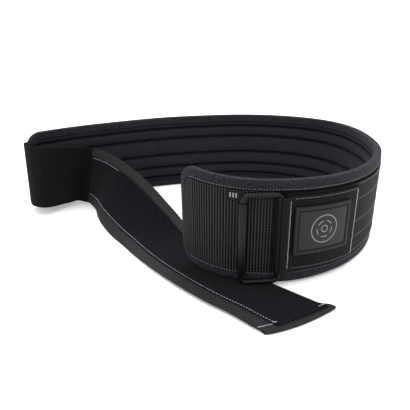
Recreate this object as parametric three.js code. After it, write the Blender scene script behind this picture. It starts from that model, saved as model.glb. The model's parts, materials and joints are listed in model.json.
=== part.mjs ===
// A padded weightlifting belt, four inches tall, standing open on its lower edge.
//
// The padded wall follows a plan curve of arcs. Its layers are drawn in the wall's own
// coordinates, which are the distance along the wall, the height and the distance outwards
// from the face of the padding, and wallPoint() bends them round the curve. The strap is a
// ribbon over rulings, each with a foot on its near edge and a direction to its far edge.
// Millimetres, +Z up. Seen from the front, +X is to the right and +Y is away.

import * as THREE from 'three';

// Padded wall
const bodyLength = 870;
const bodyHeight = 100;
const endCornerRadius = 20;
const paddingThickness = 5.6;
const pressedPadding = 4;
const channelDepth = 2.2;
const channelHalfWidth = 3;
const shellThickness = 1.2;
const bindingWidth = 9.6;
const bindingThickness = 1;
const bindingRound = 0.8;
const pressedEase = 1.5;

// Webbing, label and patch on the outside
const bandWidth = 76.2;
const bandThickness = 1.8;
const bandFromBar = 5;
const bindingGap = 0.6;
const ribbedPanelThickness = 1.5;
const tabLength = 88;
const tabHeight = 75;
const tabFoot = 10.1;
const tabSettle = 14;
const tabThickness = 1.8;
const patchLength = 60;
const patchHeight = 47;
const patchFromBar = 13;
const patchRise = 2;
const patchBase = 1.2;
const patchRim = 1.4;
const patchRimWidth = 3;
const patchPlateInset = 4.2;
const patchPlate = 0.9;
const patchBevel = 0.6;
const patchSlope = 0.5;
const labelFromEnd = 58.5;
const labelLength = 12;
const labelHeight = 10;
const labelThickness = 0.5;

// Buckle
const barFromEnd = 103;
const wireDiameter = 4.6;
const ringHeight = 90;
const ringBarSpacing = 34;
const ringCornerRadius = 4;
const ringSlack = 0.6;
const ringInwardTurn = 3.5;
const rollerDiameter = 7.6;
const rollerWall = 1.1;
const rollerLength = 72;
const rollerBevel = 0.3;

// Strap
const strapWidth = 76.2;
const elasticThickness = 1.8;
const elasticSewnLength = 28;
const wrapRadius = 4.6;
const wrapInset = 3.4;
const strapThickness = 1.3;
const hemLength = 18;
const hemOpening = 0.6;
const tapeThickness = 1.2;
const tapeNearBorder = 13.5;
const tapeFarBorder = 6.5;
const tapeEndMargin = 1.2;

// The buckle end stands on the strap and comes down to the surface along the wall
const buckleEndLift = 8.6;
const liftRun = 260;
const liftFall = 1.5;

// Space between neighbouring pieces
const clearance = 0.35;
const tabGap = 0.55;

// Longest steps of the faceted curves
const wallStep = 13;
const ribbonStep = 7;

// Shortest step between a station of the wall and the end of a layer
const shortStep = 1.5;

// The wall's plan from the buckle end to the strap end: the degrees that arcs of equal
// length turn to the left.
const startHeading = -64.4;
const bends = [71.5, 39.1, 28.3, 34.2, 42.4, 35.7, 10.6, 13.1, 14.5];

// How far the wall's top leans outwards, at even steps along the wall, as shares of its height
const leans = [0.02, 0, 0.02, 0.015, 0.1, 0.042, 0.042, -0.01, -0.01];

// Heights of the rows that are stitched through the wall and sink its channels, above or
// below its middle, as shares of what the binding leaves of the padding's half height.
const stitchRows = [0.946, 0.539, -0.095, -0.568, -0.946];

// Rulings of the strap from the fold at the belt's end to its free end: the foot as shares
// of the wall's length from its start, the rise of the foot as a share of the shelf that the
// wall leaves below the band, and the direction from the foot to the far edge, whose parts
// need no common length.
const rulings = [
  { x: -0.2272, y: 0.1534, rise: 1, toX: 0.02, toY: 0.02, toZ: 1 },
  { x: -0.2196, y: 0.1467, rise: 1, toX: 0.03, toY: 0.03, toZ: 1 },
  { x: -0.2085, y: 0.1436, rise: 1, toX: 0.06, toY: 0.05, toZ: 1 },
  { x: -0.1994, y: 0.1504, rise: 0.9, toX: 0.1, toY: 0.05, toZ: 1 },
  { x: -0.1904, y: 0.1629, rise: 0.8, toX: 0.14, toY: 0.04, toZ: 1 },
  { x: -0.1816, y: 0.1791, rise: 0.6, toX: 0.2, toY: 0.01, toZ: 0.98 },
  { x: -0.1751, y: 0.1948, rise: 0.4, toX: 0.22, toY: -0.03, toZ: 0.97 },
  { x: -0.1679, y: 0.2022, rise: 0.1, toX: 0.19, toY: -0.06, toZ: 0.98 },
  { x: -0.1592, y: 0.2000, rise: 0.05, toX: 0.17, toY: -0.02, toZ: 0.98, seam: true },
  { x: -0.1497, y: 0.1871, rise: 0.04, toX: 0.19, toY: 0.06, toZ: 0.98 },
  { x: -0.1394, y: 0.1670, rise: 0.02, toX: 0.28, toY: 0.15, toZ: 0.95 },
  { x: -0.1314, y: 0.1397, rise: 0, toX: 0.45, toY: 0.27, toZ: 0.85 },
  { x: -0.1177, y: 0.1059, rise: 0, toX: 0.66, toY: 0.41, toZ: 0.63 },
  { x: -0.1004, y: 0.0732, rise: 0, toX: 0.77, toY: 0.49, toZ: 0.4 },
  { x: -0.0833, y: 0.0473, rise: 0, toX: 0.82, toY: 0.54, toZ: 0.22 },
  { x: -0.0651, y: 0.0179, rise: 0.08, toX: 0.82, toY: 0.57, toZ: 0.05 },
  { x: -0.0477, y: -0.0082, rise: 0.16, toX: 0.82, toY: 0.57, toZ: -0.023 },
  { x: -0.0306, y: -0.0315, rise: 0.21, toX: 0.83, toY: 0.56, toZ: -0.03 },
  { x: -0.0019, y: -0.0660, rise: 0.25, toX: 0.83, toY: 0.56, toZ: -0.0365 },
  { x: 0.0235, y: -0.0925, rise: 0.25, toX: 0.84, toY: 0.54, toZ: -0.0365 },
  { x: 0.0470, y: -0.1131, rise: 0.21, toX: 0.85, toY: 0.53, toZ: -0.03 },
  { x: 0.0632, y: -0.1300, rise: 0.18, toX: 0.85, toY: 0.52, toZ: -0.008 },
  { x: 0.0771, y: -0.1431, rise: 0.16, toX: 0.86, toY: 0.52, toZ: 0 },
];

// Levels of the layers, outwards from the face of the padding
const shellIn = clearance;
const shellOut = shellIn + shellThickness;
const webbingIn = shellOut + clearance;
const bandOut = webbingIn + bandThickness;
const ribbedOut = webbingIn + ribbedPanelThickness;
const tabIn = bandOut + tabGap;
const tabOut = tabIn + tabThickness;
const bindingOut = webbingIn + bindingThickness;
const bindingIn = -(pressedPadding + clearance + bindingThickness);
const bandBottom = (bodyHeight - bandWidth) / 2;
const bandTop = bandBottom + bandWidth;

// Insets from the wall's edge: where the pad's layers start inside the binding, how far the
// binding presses the padding, and where the padding has its full thickness
const coreMargin = bindingThickness + clearance;
const pressedTo = bindingWidth + clearance;
const fullFrom = pressedTo + pressedEase;
const rowReach = bodyHeight / 2 - pressedTo - channelHalfWidth;
const stripMargin = bindingWidth + bindingGap;

// Plan curve and bending

const arcs = [];
{
  let x = 0;
  let y = 0;
  let heading = THREE.MathUtils.degToRad(startHeading);
  let from = 0;
  for (const bend of bends) {
    const length = bodyLength / bends.length;
    const turn = THREE.MathUtils.degToRad(bend);
    const arc = { x, y, heading, from, length, curvature: turn / length };
    arcs.push(arc);
    const end = pointOnArc(arc, length);
    x = end.x;
    y = end.y;
    heading = end.heading;
    from += length;
  }
}

function pointOnArc(arc, along) {
  const heading = arc.heading + arc.curvature * along;
  const x = arc.x + (Math.sin(heading) - Math.sin(arc.heading)) / arc.curvature;
  const y = arc.y - (Math.cos(heading) - Math.cos(arc.heading)) / arc.curvature;
  return { x, y, heading };
}

// Place and heading of the padding's face at a distance along the wall, which runs on
// straight beyond both ends.
function planAt(along) {
  const inside = THREE.MathUtils.clamp(along, 0, bodyLength);
  let arc = arcs[0];
  for (const next of arcs) {
    if (next.from <= inside) arc = next;
  }
  const point = pointOnArc(arc, inside - arc.from);
  const beyond = along - inside;
  point.x += Math.cos(point.heading) * beyond;
  point.y += Math.sin(point.heading) * beyond;
  return point;
}

function liftAt(along) {
  const left = THREE.MathUtils.clamp(1 - along / liftRun, 0, 1);
  return buckleEndLift * left ** liftFall;
}

function leanAt(along) {
  const place = (THREE.MathUtils.clamp(along, 0, bodyLength) / bodyLength) * (leans.length - 1);
  const i = Math.min(Math.floor(place), leans.length - 2);
  return THREE.MathUtils.lerp(leans[i], leans[i + 1], THREE.MathUtils.smoothstep(place - i, 0, 1));
}

function wallPoint(along, height, out) {
  const plan = planAt(along);
  const from = out + leanAt(along) * height;
  const x = plan.x + Math.sin(plan.heading) * from;
  const y = plan.y - Math.cos(plan.heading) * from;
  return new THREE.Vector3(x, y, height + liftAt(along));
}

// Stations shared by every layer, so that their facets stay parallel
function stationsBetween(from, to, extra = []) {
  const count = Math.round(bodyLength / wallStep);
  const stations = new Set([from, to, ...extra]);
  for (let i = 0; i <= count; i += 1) {
    const along = (bodyLength * i) / count;
    if (along > from + shortStep && along < to - shortStep) stations.add(along);
  }
  return [...stations].sort((a, b) => a - b);
}

// Closed meshes

function closedGeometry(points, faces) {
  let volume = 0;
  for (const [a, b, c] of faces) {
    volume += points[a].dot(new THREE.Vector3().crossVectors(points[b], points[c]));
  }
  const index = volume < 0 ? faces.map(([a, b, c]) => [a, c, b]) : faces;
  const geometry = new THREE.BufferGeometry().setFromPoints(points);
  geometry.setIndex(index.flat());
  geometry.computeVertexNormals();
  return geometry;
}

// A solid through a row of sections with as many points each. The facets are split from the
// lower place of a section to the higher one of the next, alike in layers that lie side by
// side. The caps are triangulated in the flat outline; a ring without ends has none.
function loft(sections, outline, ring = false) {
  const size = sections[0].length;
  const points = sections.flat();
  const faces = [];
  const links = ring ? sections.length : sections.length - 1;
  for (let i = 0; i < links; i += 1) {
    const here = i * size;
    const next = ((i + 1) % sections.length) * size;
    for (let j = 0; j < size; j += 1) {
      const k = (j + 1) % size;
      if (points[here + j].z < points[here + k].z) {
        faces.push([here + j, here + k, next + k], [here + j, next + k, next + j]);
      } else {
        faces.push([here + j, here + k, next + j], [here + k, next + k, next + j]);
      }
    }
  }
  if (!ring) {
    const last = (sections.length - 1) * size;
    for (const [a, b, c] of THREE.ShapeUtils.triangulateShape(outline, [])) {
      faces.push([a, c, b], [last + a, last + b, last + c]);
    }
    const [a, b, c] = THREE.ShapeUtils.triangulateShape(outline, [])[0];
    const area = (outline[b].x - outline[a].x) * (outline[c].y - outline[a].y)
      - (outline[c].x - outline[a].x) * (outline[b].y - outline[a].y);
    if (area < 0) throw new Error('an outline runs clockwise');
  }
  return closedGeometry(points, faces);
}

function flat(pairs) {
  return pairs.map(([x, y]) => new THREE.Vector2(x, y));
}

function mesh(name, geometry, color, roughness, metalness = 0) {
  const material = new THREE.MeshStandardMaterial({ color, roughness, metalness });
  const made = new THREE.Mesh(geometry, material);
  made.name = name;
  return made;
}

// How much of its height a layer keeps at its rounded end corners, where the layer's
// outline lies a margin inside the wall's
function cornerShare(along, margin) {
  const radius = endCornerRadius - margin;
  const half = bodyHeight / 2 - margin;
  const toEnd = Math.max(0, Math.min(along, bodyLength - along) - margin);
  if (toEnd >= radius) return 1;
  const drop = radius - Math.sqrt(radius ** 2 - (radius - toEnd) ** 2);
  return (half - drop) / half;
}

function cornerStations(margin) {
  const radius = endCornerRadius - margin;
  const steps = [0.04, 0.15, 0.35, 0.62].map((share) => margin + radius * share);
  return [...steps, ...steps.map((along) => bodyLength - along)];
}

// Distance of a place on the wall from the wall's edge, round its end corners too
function edgeInset(along, height) {
  const toEnd = Math.min(along, bodyLength - along);
  const toSide = Math.min(height, bodyHeight - height);
  const radius = endCornerRadius;
  if (toEnd >= radius || toSide >= radius) return Math.min(toEnd, toSide);
  return radius - Math.hypot(radius - toEnd, radius - toSide);
}

// A layer of the wall: its outline holds pairs of outwards distance and height, running
// counterclockwise seen against the wall's direction. Near the wall's edge, none of it lies
// further in than the pressed padding.
function wallLayer(outline, margin) {
  const extra = cornerStations(margin);
  extra.push(pressedTo, fullFrom + 0.2, bodyLength - pressedTo, bodyLength - fullFrom - 0.2);
  const stations = stationsBetween(margin, bodyLength - margin, extra);
  const middle = bodyHeight / 2;
  const sections = stations.map((along) => {
    const share = cornerShare(along, margin);
    return outline.map(([out, height]) => {
      const place = middle + (height - middle) * share;
      const pressed = edgeInset(along, place) < fullFrom;
      return wallPoint(along, place, pressed ? Math.max(out, -pressedPadding) : out);
    });
  });
  return loft(sections, flat(outline));
}

// Body of the belt

function paddedLining() {
  const foot = coreMargin;
  const inner = [[-pressedPadding, foot], [-pressedPadding, pressedTo]];
  const rows = [...stitchRows].reverse();
  for (const row of rows) {
    const height = bodyHeight / 2 + row * rowReach;
    inner.push([-paddingThickness, height - channelHalfWidth]);
    inner.push([-(paddingThickness - channelDepth), height]);
    inner.push([-paddingThickness, height + channelHalfWidth]);
  }
  inner.push([-pressedPadding, bodyHeight - pressedTo], [-pressedPadding, bodyHeight - foot]);
  const outline = [[0, foot], [0, bodyHeight - foot], ...inner.reverse()];
  const geometry = wallLayer(outline, coreMargin);
  return mesh('padded_lining', geometry, 0x24242b, 0.9);
}

function outerShell() {
  const foot = coreMargin;
  const top = bodyHeight - foot;
  const outline = [[shellIn, foot], [shellOut, foot], [shellOut, top], [shellIn, top]];
  return mesh('outer_shell', wallLayer(outline, coreMargin), 0x222226, 0.85);
}

// The binding's edge runs round the wall: along the foot, up the strap end, back along the
// top and down the buckle end. Each place on it has an inward direction in the wall.
function edgePlaces() {
  const places = [];
  const radius = endCornerRadius;
  const straight = stationsBetween(radius, bodyLength - radius);
  const addCorner = (cx, cz, fromAngle) => {
    for (const share of [0.2, 0.4, 0.6, 0.8]) {
      const angle = fromAngle + (Math.PI / 2) * share;
      const dx = Math.cos(angle);
      const dz = Math.sin(angle);
      places.push({ along: cx + radius * dx, height: cz + radius * dz, inX: -dx, inZ: -dz });
    }
  };
  for (const along of straight) places.push({ along, height: 0, inX: 0, inZ: 1 });
  addCorner(bodyLength - radius, radius, -Math.PI / 2);
  places.push({ along: bodyLength, height: radius, inX: -1, inZ: 0 });
  places.push({ along: bodyLength, height: bodyHeight - radius, inX: -1, inZ: 0 });
  addCorner(bodyLength - radius, bodyHeight - radius, 0);
  for (const along of [...straight].reverse()) places.push({ along, height: bodyHeight, inX: 0, inZ: -1 });
  addCorner(radius, bodyHeight - radius, Math.PI / 2);
  places.push({ along: 0, height: bodyHeight - radius, inX: 1, inZ: 0 });
  places.push({ along: 0, height: radius, inX: 1, inZ: 0 });
  addCorner(radius, radius, Math.PI);
  return places;
}

function edgeBinding() {
  const round = bindingRound;
  const innerIn = bindingIn + bindingThickness;
  const innerOut = bindingOut - bindingThickness;
  const profile = [
    [bindingWidth, bindingOut], [round, bindingOut], [0, bindingOut - round],
    [0, bindingIn + round], [round, bindingIn], [bindingWidth, bindingIn],
    [bindingWidth, innerIn], [bindingThickness, innerIn],
    [bindingThickness, innerOut], [bindingWidth, innerOut],
  ];
  const sections = edgePlaces().map((place) => profile.map(([depth, out]) => (
    wallPoint(place.along + place.inX * depth, place.height + place.inZ * depth, out)
  )));
  return mesh('edge_binding', loft(sections, null, true), 0x2c2c31, 0.9);
}

// A strip of webbing on the wall, between two distances along it, inside the binding
function wallStrip(from, to, bottom, top, inner, outer) {
  const middle = bodyHeight / 2;
  const corners = cornerStations(stripMargin).filter((along) => along > from && along < to);
  const sections = stationsBetween(from, to, corners).map((along) => {
    const reach = cornerShare(along, stripMargin) * (middle - stripMargin);
    const low = Math.max(bottom, middle - reach);
    const high = Math.min(top, middle + reach);
    return [[inner, low], [outer, low], [outer, high], [inner, high]].map(([out, height]) => (
      wallPoint(along, height, out)
    ));
  });
  return loft(sections, flat([[0, 0], [1, 0], [1, 1], [0, 1]]));
}

// Buckle bar, carried in the folded end of the webbing. The folded webbing is tangent to
// the band's outer face.
const barRadius = wireDiameter / 2;
const foldIn = barRadius + clearance;
const foldOut = foldIn + tabThickness;
const barOut = webbingIn + tabThickness + foldIn;
const foldStart = barFromEnd - foldOut;
const bandStart = barFromEnd + bandFromBar;

function ribbedPanel() {
  const to = foldStart - clearance;
  const top = bodyHeight - stripMargin;
  const geometry = wallStrip(stripMargin, to, stripMargin, top, webbingIn, ribbedOut);
  return mesh('ribbed_panel', geometry, 0x29292c, 0.8);
}

const bandEnd = bodyLength - stripMargin;

function outerBand() {
  const geometry = wallStrip(bandStart, bandEnd, bandBottom, bandTop, webbingIn, bandOut);
  return mesh('outer_band', geometry, 0x28282c, 0.85);
}

// The tab: a short run on the shell, the fold round the bar, and the long run that comes
// down on to the band. Each section joins a place on its inner face to one on its outer face.
function buckleTab() {
  const sections = [];
  const bottom = tabFoot;
  const top = tabFoot + tabHeight;
  const add = (along, out, dx, dz) => {
    const endAlong = along + dx * tabThickness;
    const endOut = out + dz * tabThickness;
    sections.push([
      wallPoint(along, bottom, out), wallPoint(endAlong, bottom, endOut),
      wallPoint(endAlong, top, endOut), wallPoint(along, top, out),
    ]);
  };
  add(bandStart - clearance, webbingIn + tabThickness, 0, -1);
  const foldSteps = 12;
  for (let i = 0; i <= foldSteps; i += 1) {
    const angle = -Math.PI / 2 - (Math.PI * i) / foldSteps;
    const dx = Math.cos(angle);
    const dz = Math.sin(angle);
    add(barFromEnd + dx * foldIn, barOut + dz * foldIn, dx, dz);
  }
  const fall = barOut + foldIn - tabIn;
  const slope = Math.atan2(fall, tabSettle);
  for (const share of [0.25, 0.5, 0.75]) {
    const turn = slope * Math.sin(share * Math.PI);
    const level = tabIn + fall * THREE.MathUtils.smoothstep(1 - share, 0, 1);
    add(barFromEnd + tabSettle * share, level, Math.sin(turn), Math.cos(turn));
  }
  const rest = barFromEnd + tabSettle;
  for (const along of stationsBetween(rest, barFromEnd + tabLength)) add(along, tabIn, 0, 1);
  return mesh('buckle_tab', loft(sections, flat([[0, 0], [1, 0], [1, 1], [0, 1]])), 0x2a2a2e, 0.85);
}

// Relief of the patch over the distance from its edge: rim, groove and plate
function patchHeightAt(inset) {
  const rows = [
    [0, patchBase + patchRim * 0.55], [patchBevel, patchBase + patchRim],
    [patchRimWidth, patchBase + patchRim], [patchRimWidth + patchSlope, patchBase],
    [patchPlateInset, patchBase], [patchPlateInset + patchSlope, patchBase + patchPlate],
  ];
  for (let i = 1; i < rows.length; i += 1) {
    const [a, low] = rows[i - 1];
    const [b, high] = rows[i];
    if (inset <= b) return low + ((high - low) * (inset - a)) / (b - a);
  }
  return patchBase + patchPlate;
}

function badgePatch() {
  const bottom = tabOut + clearance;
  const edges = [
    0, patchBevel, patchRimWidth, patchRimWidth + patchSlope, patchPlateInset, patchPlateInset + patchSlope,
  ];
  const lines = (length, step) => {
    const inner = length - 2 * edges[5];
    const count = Math.max(1, Math.round(inner / step));
    const middle = [];
    for (let i = 1; i < count; i += 1) middle.push(edges[5] + (inner * i) / count);
    return [...edges, ...middle, ...edges.map((edge) => length - edge).reverse()];
  };
  const columns = lines(patchLength, 8);
  const rows = lines(patchHeight, patchHeight);
  const from = barFromEnd + patchFromBar;
  const foot = (bodyHeight - patchHeight) / 2 + patchRise;
  const points = [];
  const faces = [];
  for (const u of columns) {
    for (const v of rows) {
      const inset = Math.min(u, v, patchLength - u, patchHeight - v);
      points.push(wallPoint(from + u, foot + v, bottom + patchHeightAt(inset)));
    }
  }
  for (const u of columns) {
    for (const v of rows) points.push(wallPoint(from + u, foot + v, bottom));
  }
  const n = rows.length;
  const under = columns.length * n;
  const quad = (a, b, c, d) => faces.push([a, b, c], [a, c, d]);
  for (let i = 0; i + 1 < columns.length; i += 1) {
    for (let j = 0; j + 1 < n; j += 1) {
      const a = i * n + j;
      quad(a, a + n, a + n + 1, a + 1);
      quad(under + a, under + a + 1, under + a + n + 1, under + a + n);
    }
    quad(i * n, under + i * n, under + (i + 1) * n, (i + 1) * n);
    const top = i * n + n - 1;
    quad(top, top + n, under + top + n, under + top);
  }
  for (let j = 0; j + 1 < n; j += 1) {
    quad(j, j + 1, under + j + 1, under + j);
    const end = (columns.length - 1) * n + j;
    quad(end, under + end, under + end + 1, end + 1);
  }
  return mesh('badge_patch', closedGeometry(points, faces), 0x37373b, 0.5);
}

// Buckle ring and roller, turned on the bar towards the wall

const barPlace = wallPoint(barFromEnd, 0, barOut);
const ringTop = tabFoot + tabHeight + ringSlack + wireDiameter;
const ringCenterHeight = ringTop - ringHeight / 2 + liftAt(barFromEnd);

function sizeLabel() {
  const to = labelFromEnd + labelLength;
  const top = bodyHeight - stripMargin;
  const inner = ribbedOut + clearance;
  const geometry = wallStrip(labelFromEnd, to, top - labelHeight, top, inner, inner + labelThickness);
  return mesh('size_label', geometry, 0x1e1e20, 0.8);
}

// Ring in its own plane: x runs from the fixed bar to the roller
function buckleRing() {
  const halfHeight = (ringHeight - wireDiameter) / 2;
  const r = ringCornerRadius;
  const corners = [
    { x: r, z: -halfHeight + r, from: Math.PI },
    { x: ringBarSpacing - r, z: -halfHeight + r, from: 1.5 * Math.PI },
    { x: ringBarSpacing - r, z: halfHeight - r, from: 0 },
    { x: r, z: halfHeight - r, from: 0.5 * Math.PI },
  ];
  const cornerSteps = 5;
  const sides = 12;
  const sections = [];
  for (const corner of corners) {
    for (let i = 0; i <= cornerSteps; i += 1) {
      const angle = corner.from + (Math.PI / 2) * (i / cornerSteps);
      const out = new THREE.Vector3(Math.cos(angle), 0, Math.sin(angle));
      const center = new THREE.Vector3(corner.x, 0, corner.z).addScaledVector(out, r);
      const section = [];
      for (let k = 0; k < sides; k += 1) {
        const turn = (2 * Math.PI * k) / sides;
        const offset = out.clone().multiplyScalar(Math.cos(turn) * barRadius);
        offset.y += Math.sin(turn) * barRadius;
        section.push(center.clone().add(offset));
      }
      sections.push(section);
    }
  }
  return mesh('buckle_ring', loft(sections, null, true), 0x1d1d20, 0.45, 0.6);
}

function buckleRoller() {
  const half = rollerLength / 2;
  const outer = rollerDiameter / 2;
  const inner = outer - rollerWall;
  const bevel = rollerBevel;
  const profile = flat([
    [inner, -half], [outer - bevel, -half], [outer, -half + bevel],
    [outer, half - bevel], [outer - bevel, half], [inner, half], [inner, -half],
  ]);
  const geometry = new THREE.LatheGeometry(profile, 20).rotateX(Math.PI / 2);
  const roller = mesh('buckle_roller', geometry, 0x1f1f22, 0.4, 0.6);
  roller.position.x = ringBarSpacing;
  return roller;
}

function buckle() {
  const group = new THREE.Group();
  group.add(buckleRing(), buckleRoller());
  const heading = planAt(barFromEnd).heading;
  group.position.set(barPlace.x, barPlace.y, ringCenterHeight);
  group.rotation.z = heading + Math.PI - THREE.MathUtils.degToRad(ringInwardTurn);
  return group;
}

// Strap

// Rulings of the sewn end and the fold round the wall's end, from the layers' levels
function wrapRulings() {
  const under = bandOut + clearance;
  const made = [];
  const add = (along, out) => {
    const foot = wallPoint(along, bandBottom, out);
    made.push({ foot, across: wallPoint(along, bandTop, out).sub(foot).normalize() });
  };
  for (const along of stationsBetween(bandEnd - elasticSewnLength, bandEnd)) add(along, under);
  const center = under - wrapRadius;
  for (const degrees of [8, 40, 72]) {
    const angle = THREE.MathUtils.degToRad(degrees);
    add(bodyLength - wrapInset + Math.sin(angle) * wrapRadius, center + Math.cos(angle) * wrapRadius);
  }
  return made;
}

function tableRulings() {
  return rulings.map((row) => ({
    foot: new THREE.Vector3(row.x * bodyLength, row.y * bodyLength, row.rise * bandBottom),
    across: new THREE.Vector3(row.toX, row.toY, row.toZ).normalize(),
  }));
}

// Smooth sections through the rulings, at even steps
function smoothRulings(controls, step) {
  const feet = new THREE.CatmullRomCurve3(controls.map((row) => row.foot), false, 'centripetal');
  const directions = new THREE.CatmullRomCurve3(controls.map((row) => row.across), false, 'centripetal');
  const made = [];
  const spans = controls.length - 1;
  for (let i = 0; i < spans; i += 1) {
    const gap = controls[i].foot.distanceTo(controls[i + 1].foot);
    const count = Math.max(1, Math.round(gap / step));
    for (let j = 0; j < count; j += 1) {
      const t = (i + j / count) / spans;
      made.push({ foot: feet.getPoint(t), across: directions.getPoint(t).normalize() });
    }
  }
  made.push({ foot: feet.getPoint(1), across: directions.getPoint(1).normalize() });
  return made;
}

// Frames of the ribbon: across is the unit direction from the near to the far edge and up
// is the side that faces the viewer.
function ribbonFrames(sections) {
  const middles = sections.map(({ foot, across }) => foot.clone().addScaledVector(across, strapWidth / 2));
  return sections.map(({ foot, across }, i) => {
    const before = middles[Math.max(0, i - 1)];
    const after = middles[Math.min(middles.length - 1, i + 1)];
    const along = after.clone().sub(before).normalize();
    const up = along.clone().cross(across).normalize();
    return { foot, across, along, up };
  });
}

function ribbonPoint(frame, across, up) {
  return frame.foot.clone().addScaledVector(frame.across, across).addScaledVector(frame.up, up);
}

// A ribbon between two widths and two levels over its underside
function ribbon(frames, near, far, low, high) {
  const outline = [[near, low], [near, high], [far, high], [far, low]];
  const sections = frames.map((frame) => outline.map(([across, up]) => ribbonPoint(frame, across, up)));
  const shape = flat(outline);
  if (THREE.ShapeUtils.isClockWise(shape)) {
    shape.reverse();
    sections.forEach((section) => section.reverse());
  }
  return loft(sections, shape);
}

function framesOf(first, last) {
  return strapFrames.slice(first, last + 1);
}

// The free end lies level on its folded hem
const controls = [...wrapRulings(), ...tableRulings()];
const freeEnd = controls[controls.length - 1];
freeEnd.foot.z = strapThickness + hemOpening;
freeEnd.across.z = 0;
freeEnd.across.normalize();
const strapFrames = ribbonFrames(smoothRulings(controls, ribbonStep));
const seamRow = rulings.find((row) => row.seam);
const seamFoot = new THREE.Vector3(seamRow.x, seamRow.y, 0).multiplyScalar(bodyLength);
const seamFrame = strapFrames.reduce((best, frame, i) => (
  frame.foot.distanceTo(seamFoot) < strapFrames[best].foot.distanceTo(seamFoot) ? i : best
), 0);

function elasticPanel() {
  const geometry = ribbon(framesOf(0, seamFrame), 0, strapWidth, 0, elasticThickness);
  return mesh('elastic_panel', geometry, 0x232326, 0.85);
}

// The strap's own frames start a clearance beyond the seam and end in the folded hem
function strapOwnFrames() {
  const own = framesOf(seamFrame, strapFrames.length - 1);
  const first = { ...own[0], foot: own[0].foot.clone().addScaledVector(own[0].along, clearance) };
  const last = { ...own[own.length - 1], up: new THREE.Vector3(0, 0, 1) };
  last.along = last.across.clone().cross(last.up).normalize();
  return [first, ...own.slice(1, -1), last];
}

function fastenedHem(frames) {
  const last = frames[frames.length - 1];
  const made = [];
  const radius = hemOpening / 2;
  const sweep = 4;
  for (let i = 1; i <= sweep; i += 1) {
    const angle = (Math.PI * i) / sweep;
    const foot = last.foot.clone().addScaledVector(last.along, Math.sin(angle) * radius);
    foot.z += (Math.cos(angle) - 1) * radius;
    const up = last.up.clone().multiplyScalar(Math.cos(angle)).addScaledVector(last.along, Math.sin(angle));
    made.push({ ...last, foot, up });
  }
  const folded = made[made.length - 1];
  made.push({ ...folded, foot: folded.foot.clone().addScaledVector(last.along, -hemLength) });
  return made;
}

function fasteningStrap() {
  const frames = strapOwnFrames();
  const geometry = ribbon([...frames, ...fastenedHem(frames)], 0, strapWidth, 0, strapThickness);
  return mesh('fastening_strap', geometry, 0x3a3a3f, 0.85);
}

function loopTape() {
  const frames = strapOwnFrames();
  const last = { ...frames[frames.length - 1] };
  last.foot = last.foot.clone().addScaledVector(last.along, -tapeEndMargin);
  frames[frames.length - 1] = last;
  const low = strapThickness + clearance;
  const geometry = ribbon(frames, tapeNearBorder, strapWidth - tapeFarBorder, low, low + tapeThickness);
  return mesh('loop_tape', geometry, 0x232326, 1);
}

const belt = new THREE.Group();
belt.add(
  paddedLining(),
  outerShell(),
  edgeBinding(),
  ribbedPanel(),
  outerBand(),
  buckleTab(),
  badgePatch(),
  sizeLabel(),
  buckle(),
  elasticPanel(),
  fasteningStrap(),
  loopTape(),
);

// Origin in the middle of the belt's footprint, on the surface that it stands on
const bounds = new THREE.Box3().setFromObject(belt, true);
const footprint = bounds.getCenter(new THREE.Vector3());
belt.position.set(-footprint.x, -footprint.y, -bounds.min.z);

export default belt;
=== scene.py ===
"""Looks of a padded weightlifting belt with a ring buckle and a loop-faced strap.

The belt stands open on its lower edge. Its layers are drawn in the wall's own coordinates
(the distance along the wall, the height, and the distance outwards from the face of the
padding), and its strap in those of a ribbon over rulings. Both follow the solids of the
frame. Lengths in this file are millimetres until a mesh is made, and metres after that.
"""

import json
import logging
import math
import sys
from collections.abc import Callable, Sequence
from dataclasses import dataclass, field
from enum import Enum

import bmesh
import bpy
import numpy as np
from mathutils import Matrix, Vector

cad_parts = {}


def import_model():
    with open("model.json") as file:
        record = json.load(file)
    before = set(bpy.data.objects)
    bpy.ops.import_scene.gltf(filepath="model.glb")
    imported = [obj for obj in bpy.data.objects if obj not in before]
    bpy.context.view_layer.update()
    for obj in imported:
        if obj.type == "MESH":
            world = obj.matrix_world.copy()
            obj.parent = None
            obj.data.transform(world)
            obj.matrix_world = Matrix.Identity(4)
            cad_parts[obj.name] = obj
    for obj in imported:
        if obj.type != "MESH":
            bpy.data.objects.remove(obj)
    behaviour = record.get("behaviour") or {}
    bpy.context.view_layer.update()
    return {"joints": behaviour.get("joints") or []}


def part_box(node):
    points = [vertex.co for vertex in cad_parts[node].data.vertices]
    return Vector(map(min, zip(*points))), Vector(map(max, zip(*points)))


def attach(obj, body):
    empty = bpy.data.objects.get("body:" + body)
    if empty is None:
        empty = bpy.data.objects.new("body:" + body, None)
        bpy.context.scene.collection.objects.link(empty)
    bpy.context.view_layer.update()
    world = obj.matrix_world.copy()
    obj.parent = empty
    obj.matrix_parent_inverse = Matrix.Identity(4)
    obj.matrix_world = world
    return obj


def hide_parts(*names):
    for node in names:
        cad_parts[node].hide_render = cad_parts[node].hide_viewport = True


log = logging.getLogger("belt")

MM = 0.001
BELT = "belt"
RING = "ring"
ROLLER = "roller"
# In millimetres: heights of the wall's stitch rows, the place and level of the buckle's fixed bar,
# and the wall's height over the frame's floor.
STITCH_ROWS = (85.05, 69.96, 46.5, 29.0, 14.9)
BAR_ALONG = 103.0
BAR_OUT = 6.35
FLOOR_GAP = 0.06
# A wave texture of scale 1 repeats every pi / 10 units.
WAVE_SCALE = math.pi / 10


class Side(Enum):
    """The two faces of the belt's wall."""

    INSIDE = "inside"
    OUTSIDE = "outside"


# Plain numeric helpers


def unit(vectors: np.ndarray) -> np.ndarray:
    """Returns the vectors at a length of one."""
    return vectors / np.maximum(np.linalg.norm(vectors, axis=-1, keepdims=True), 1e-9)


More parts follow.
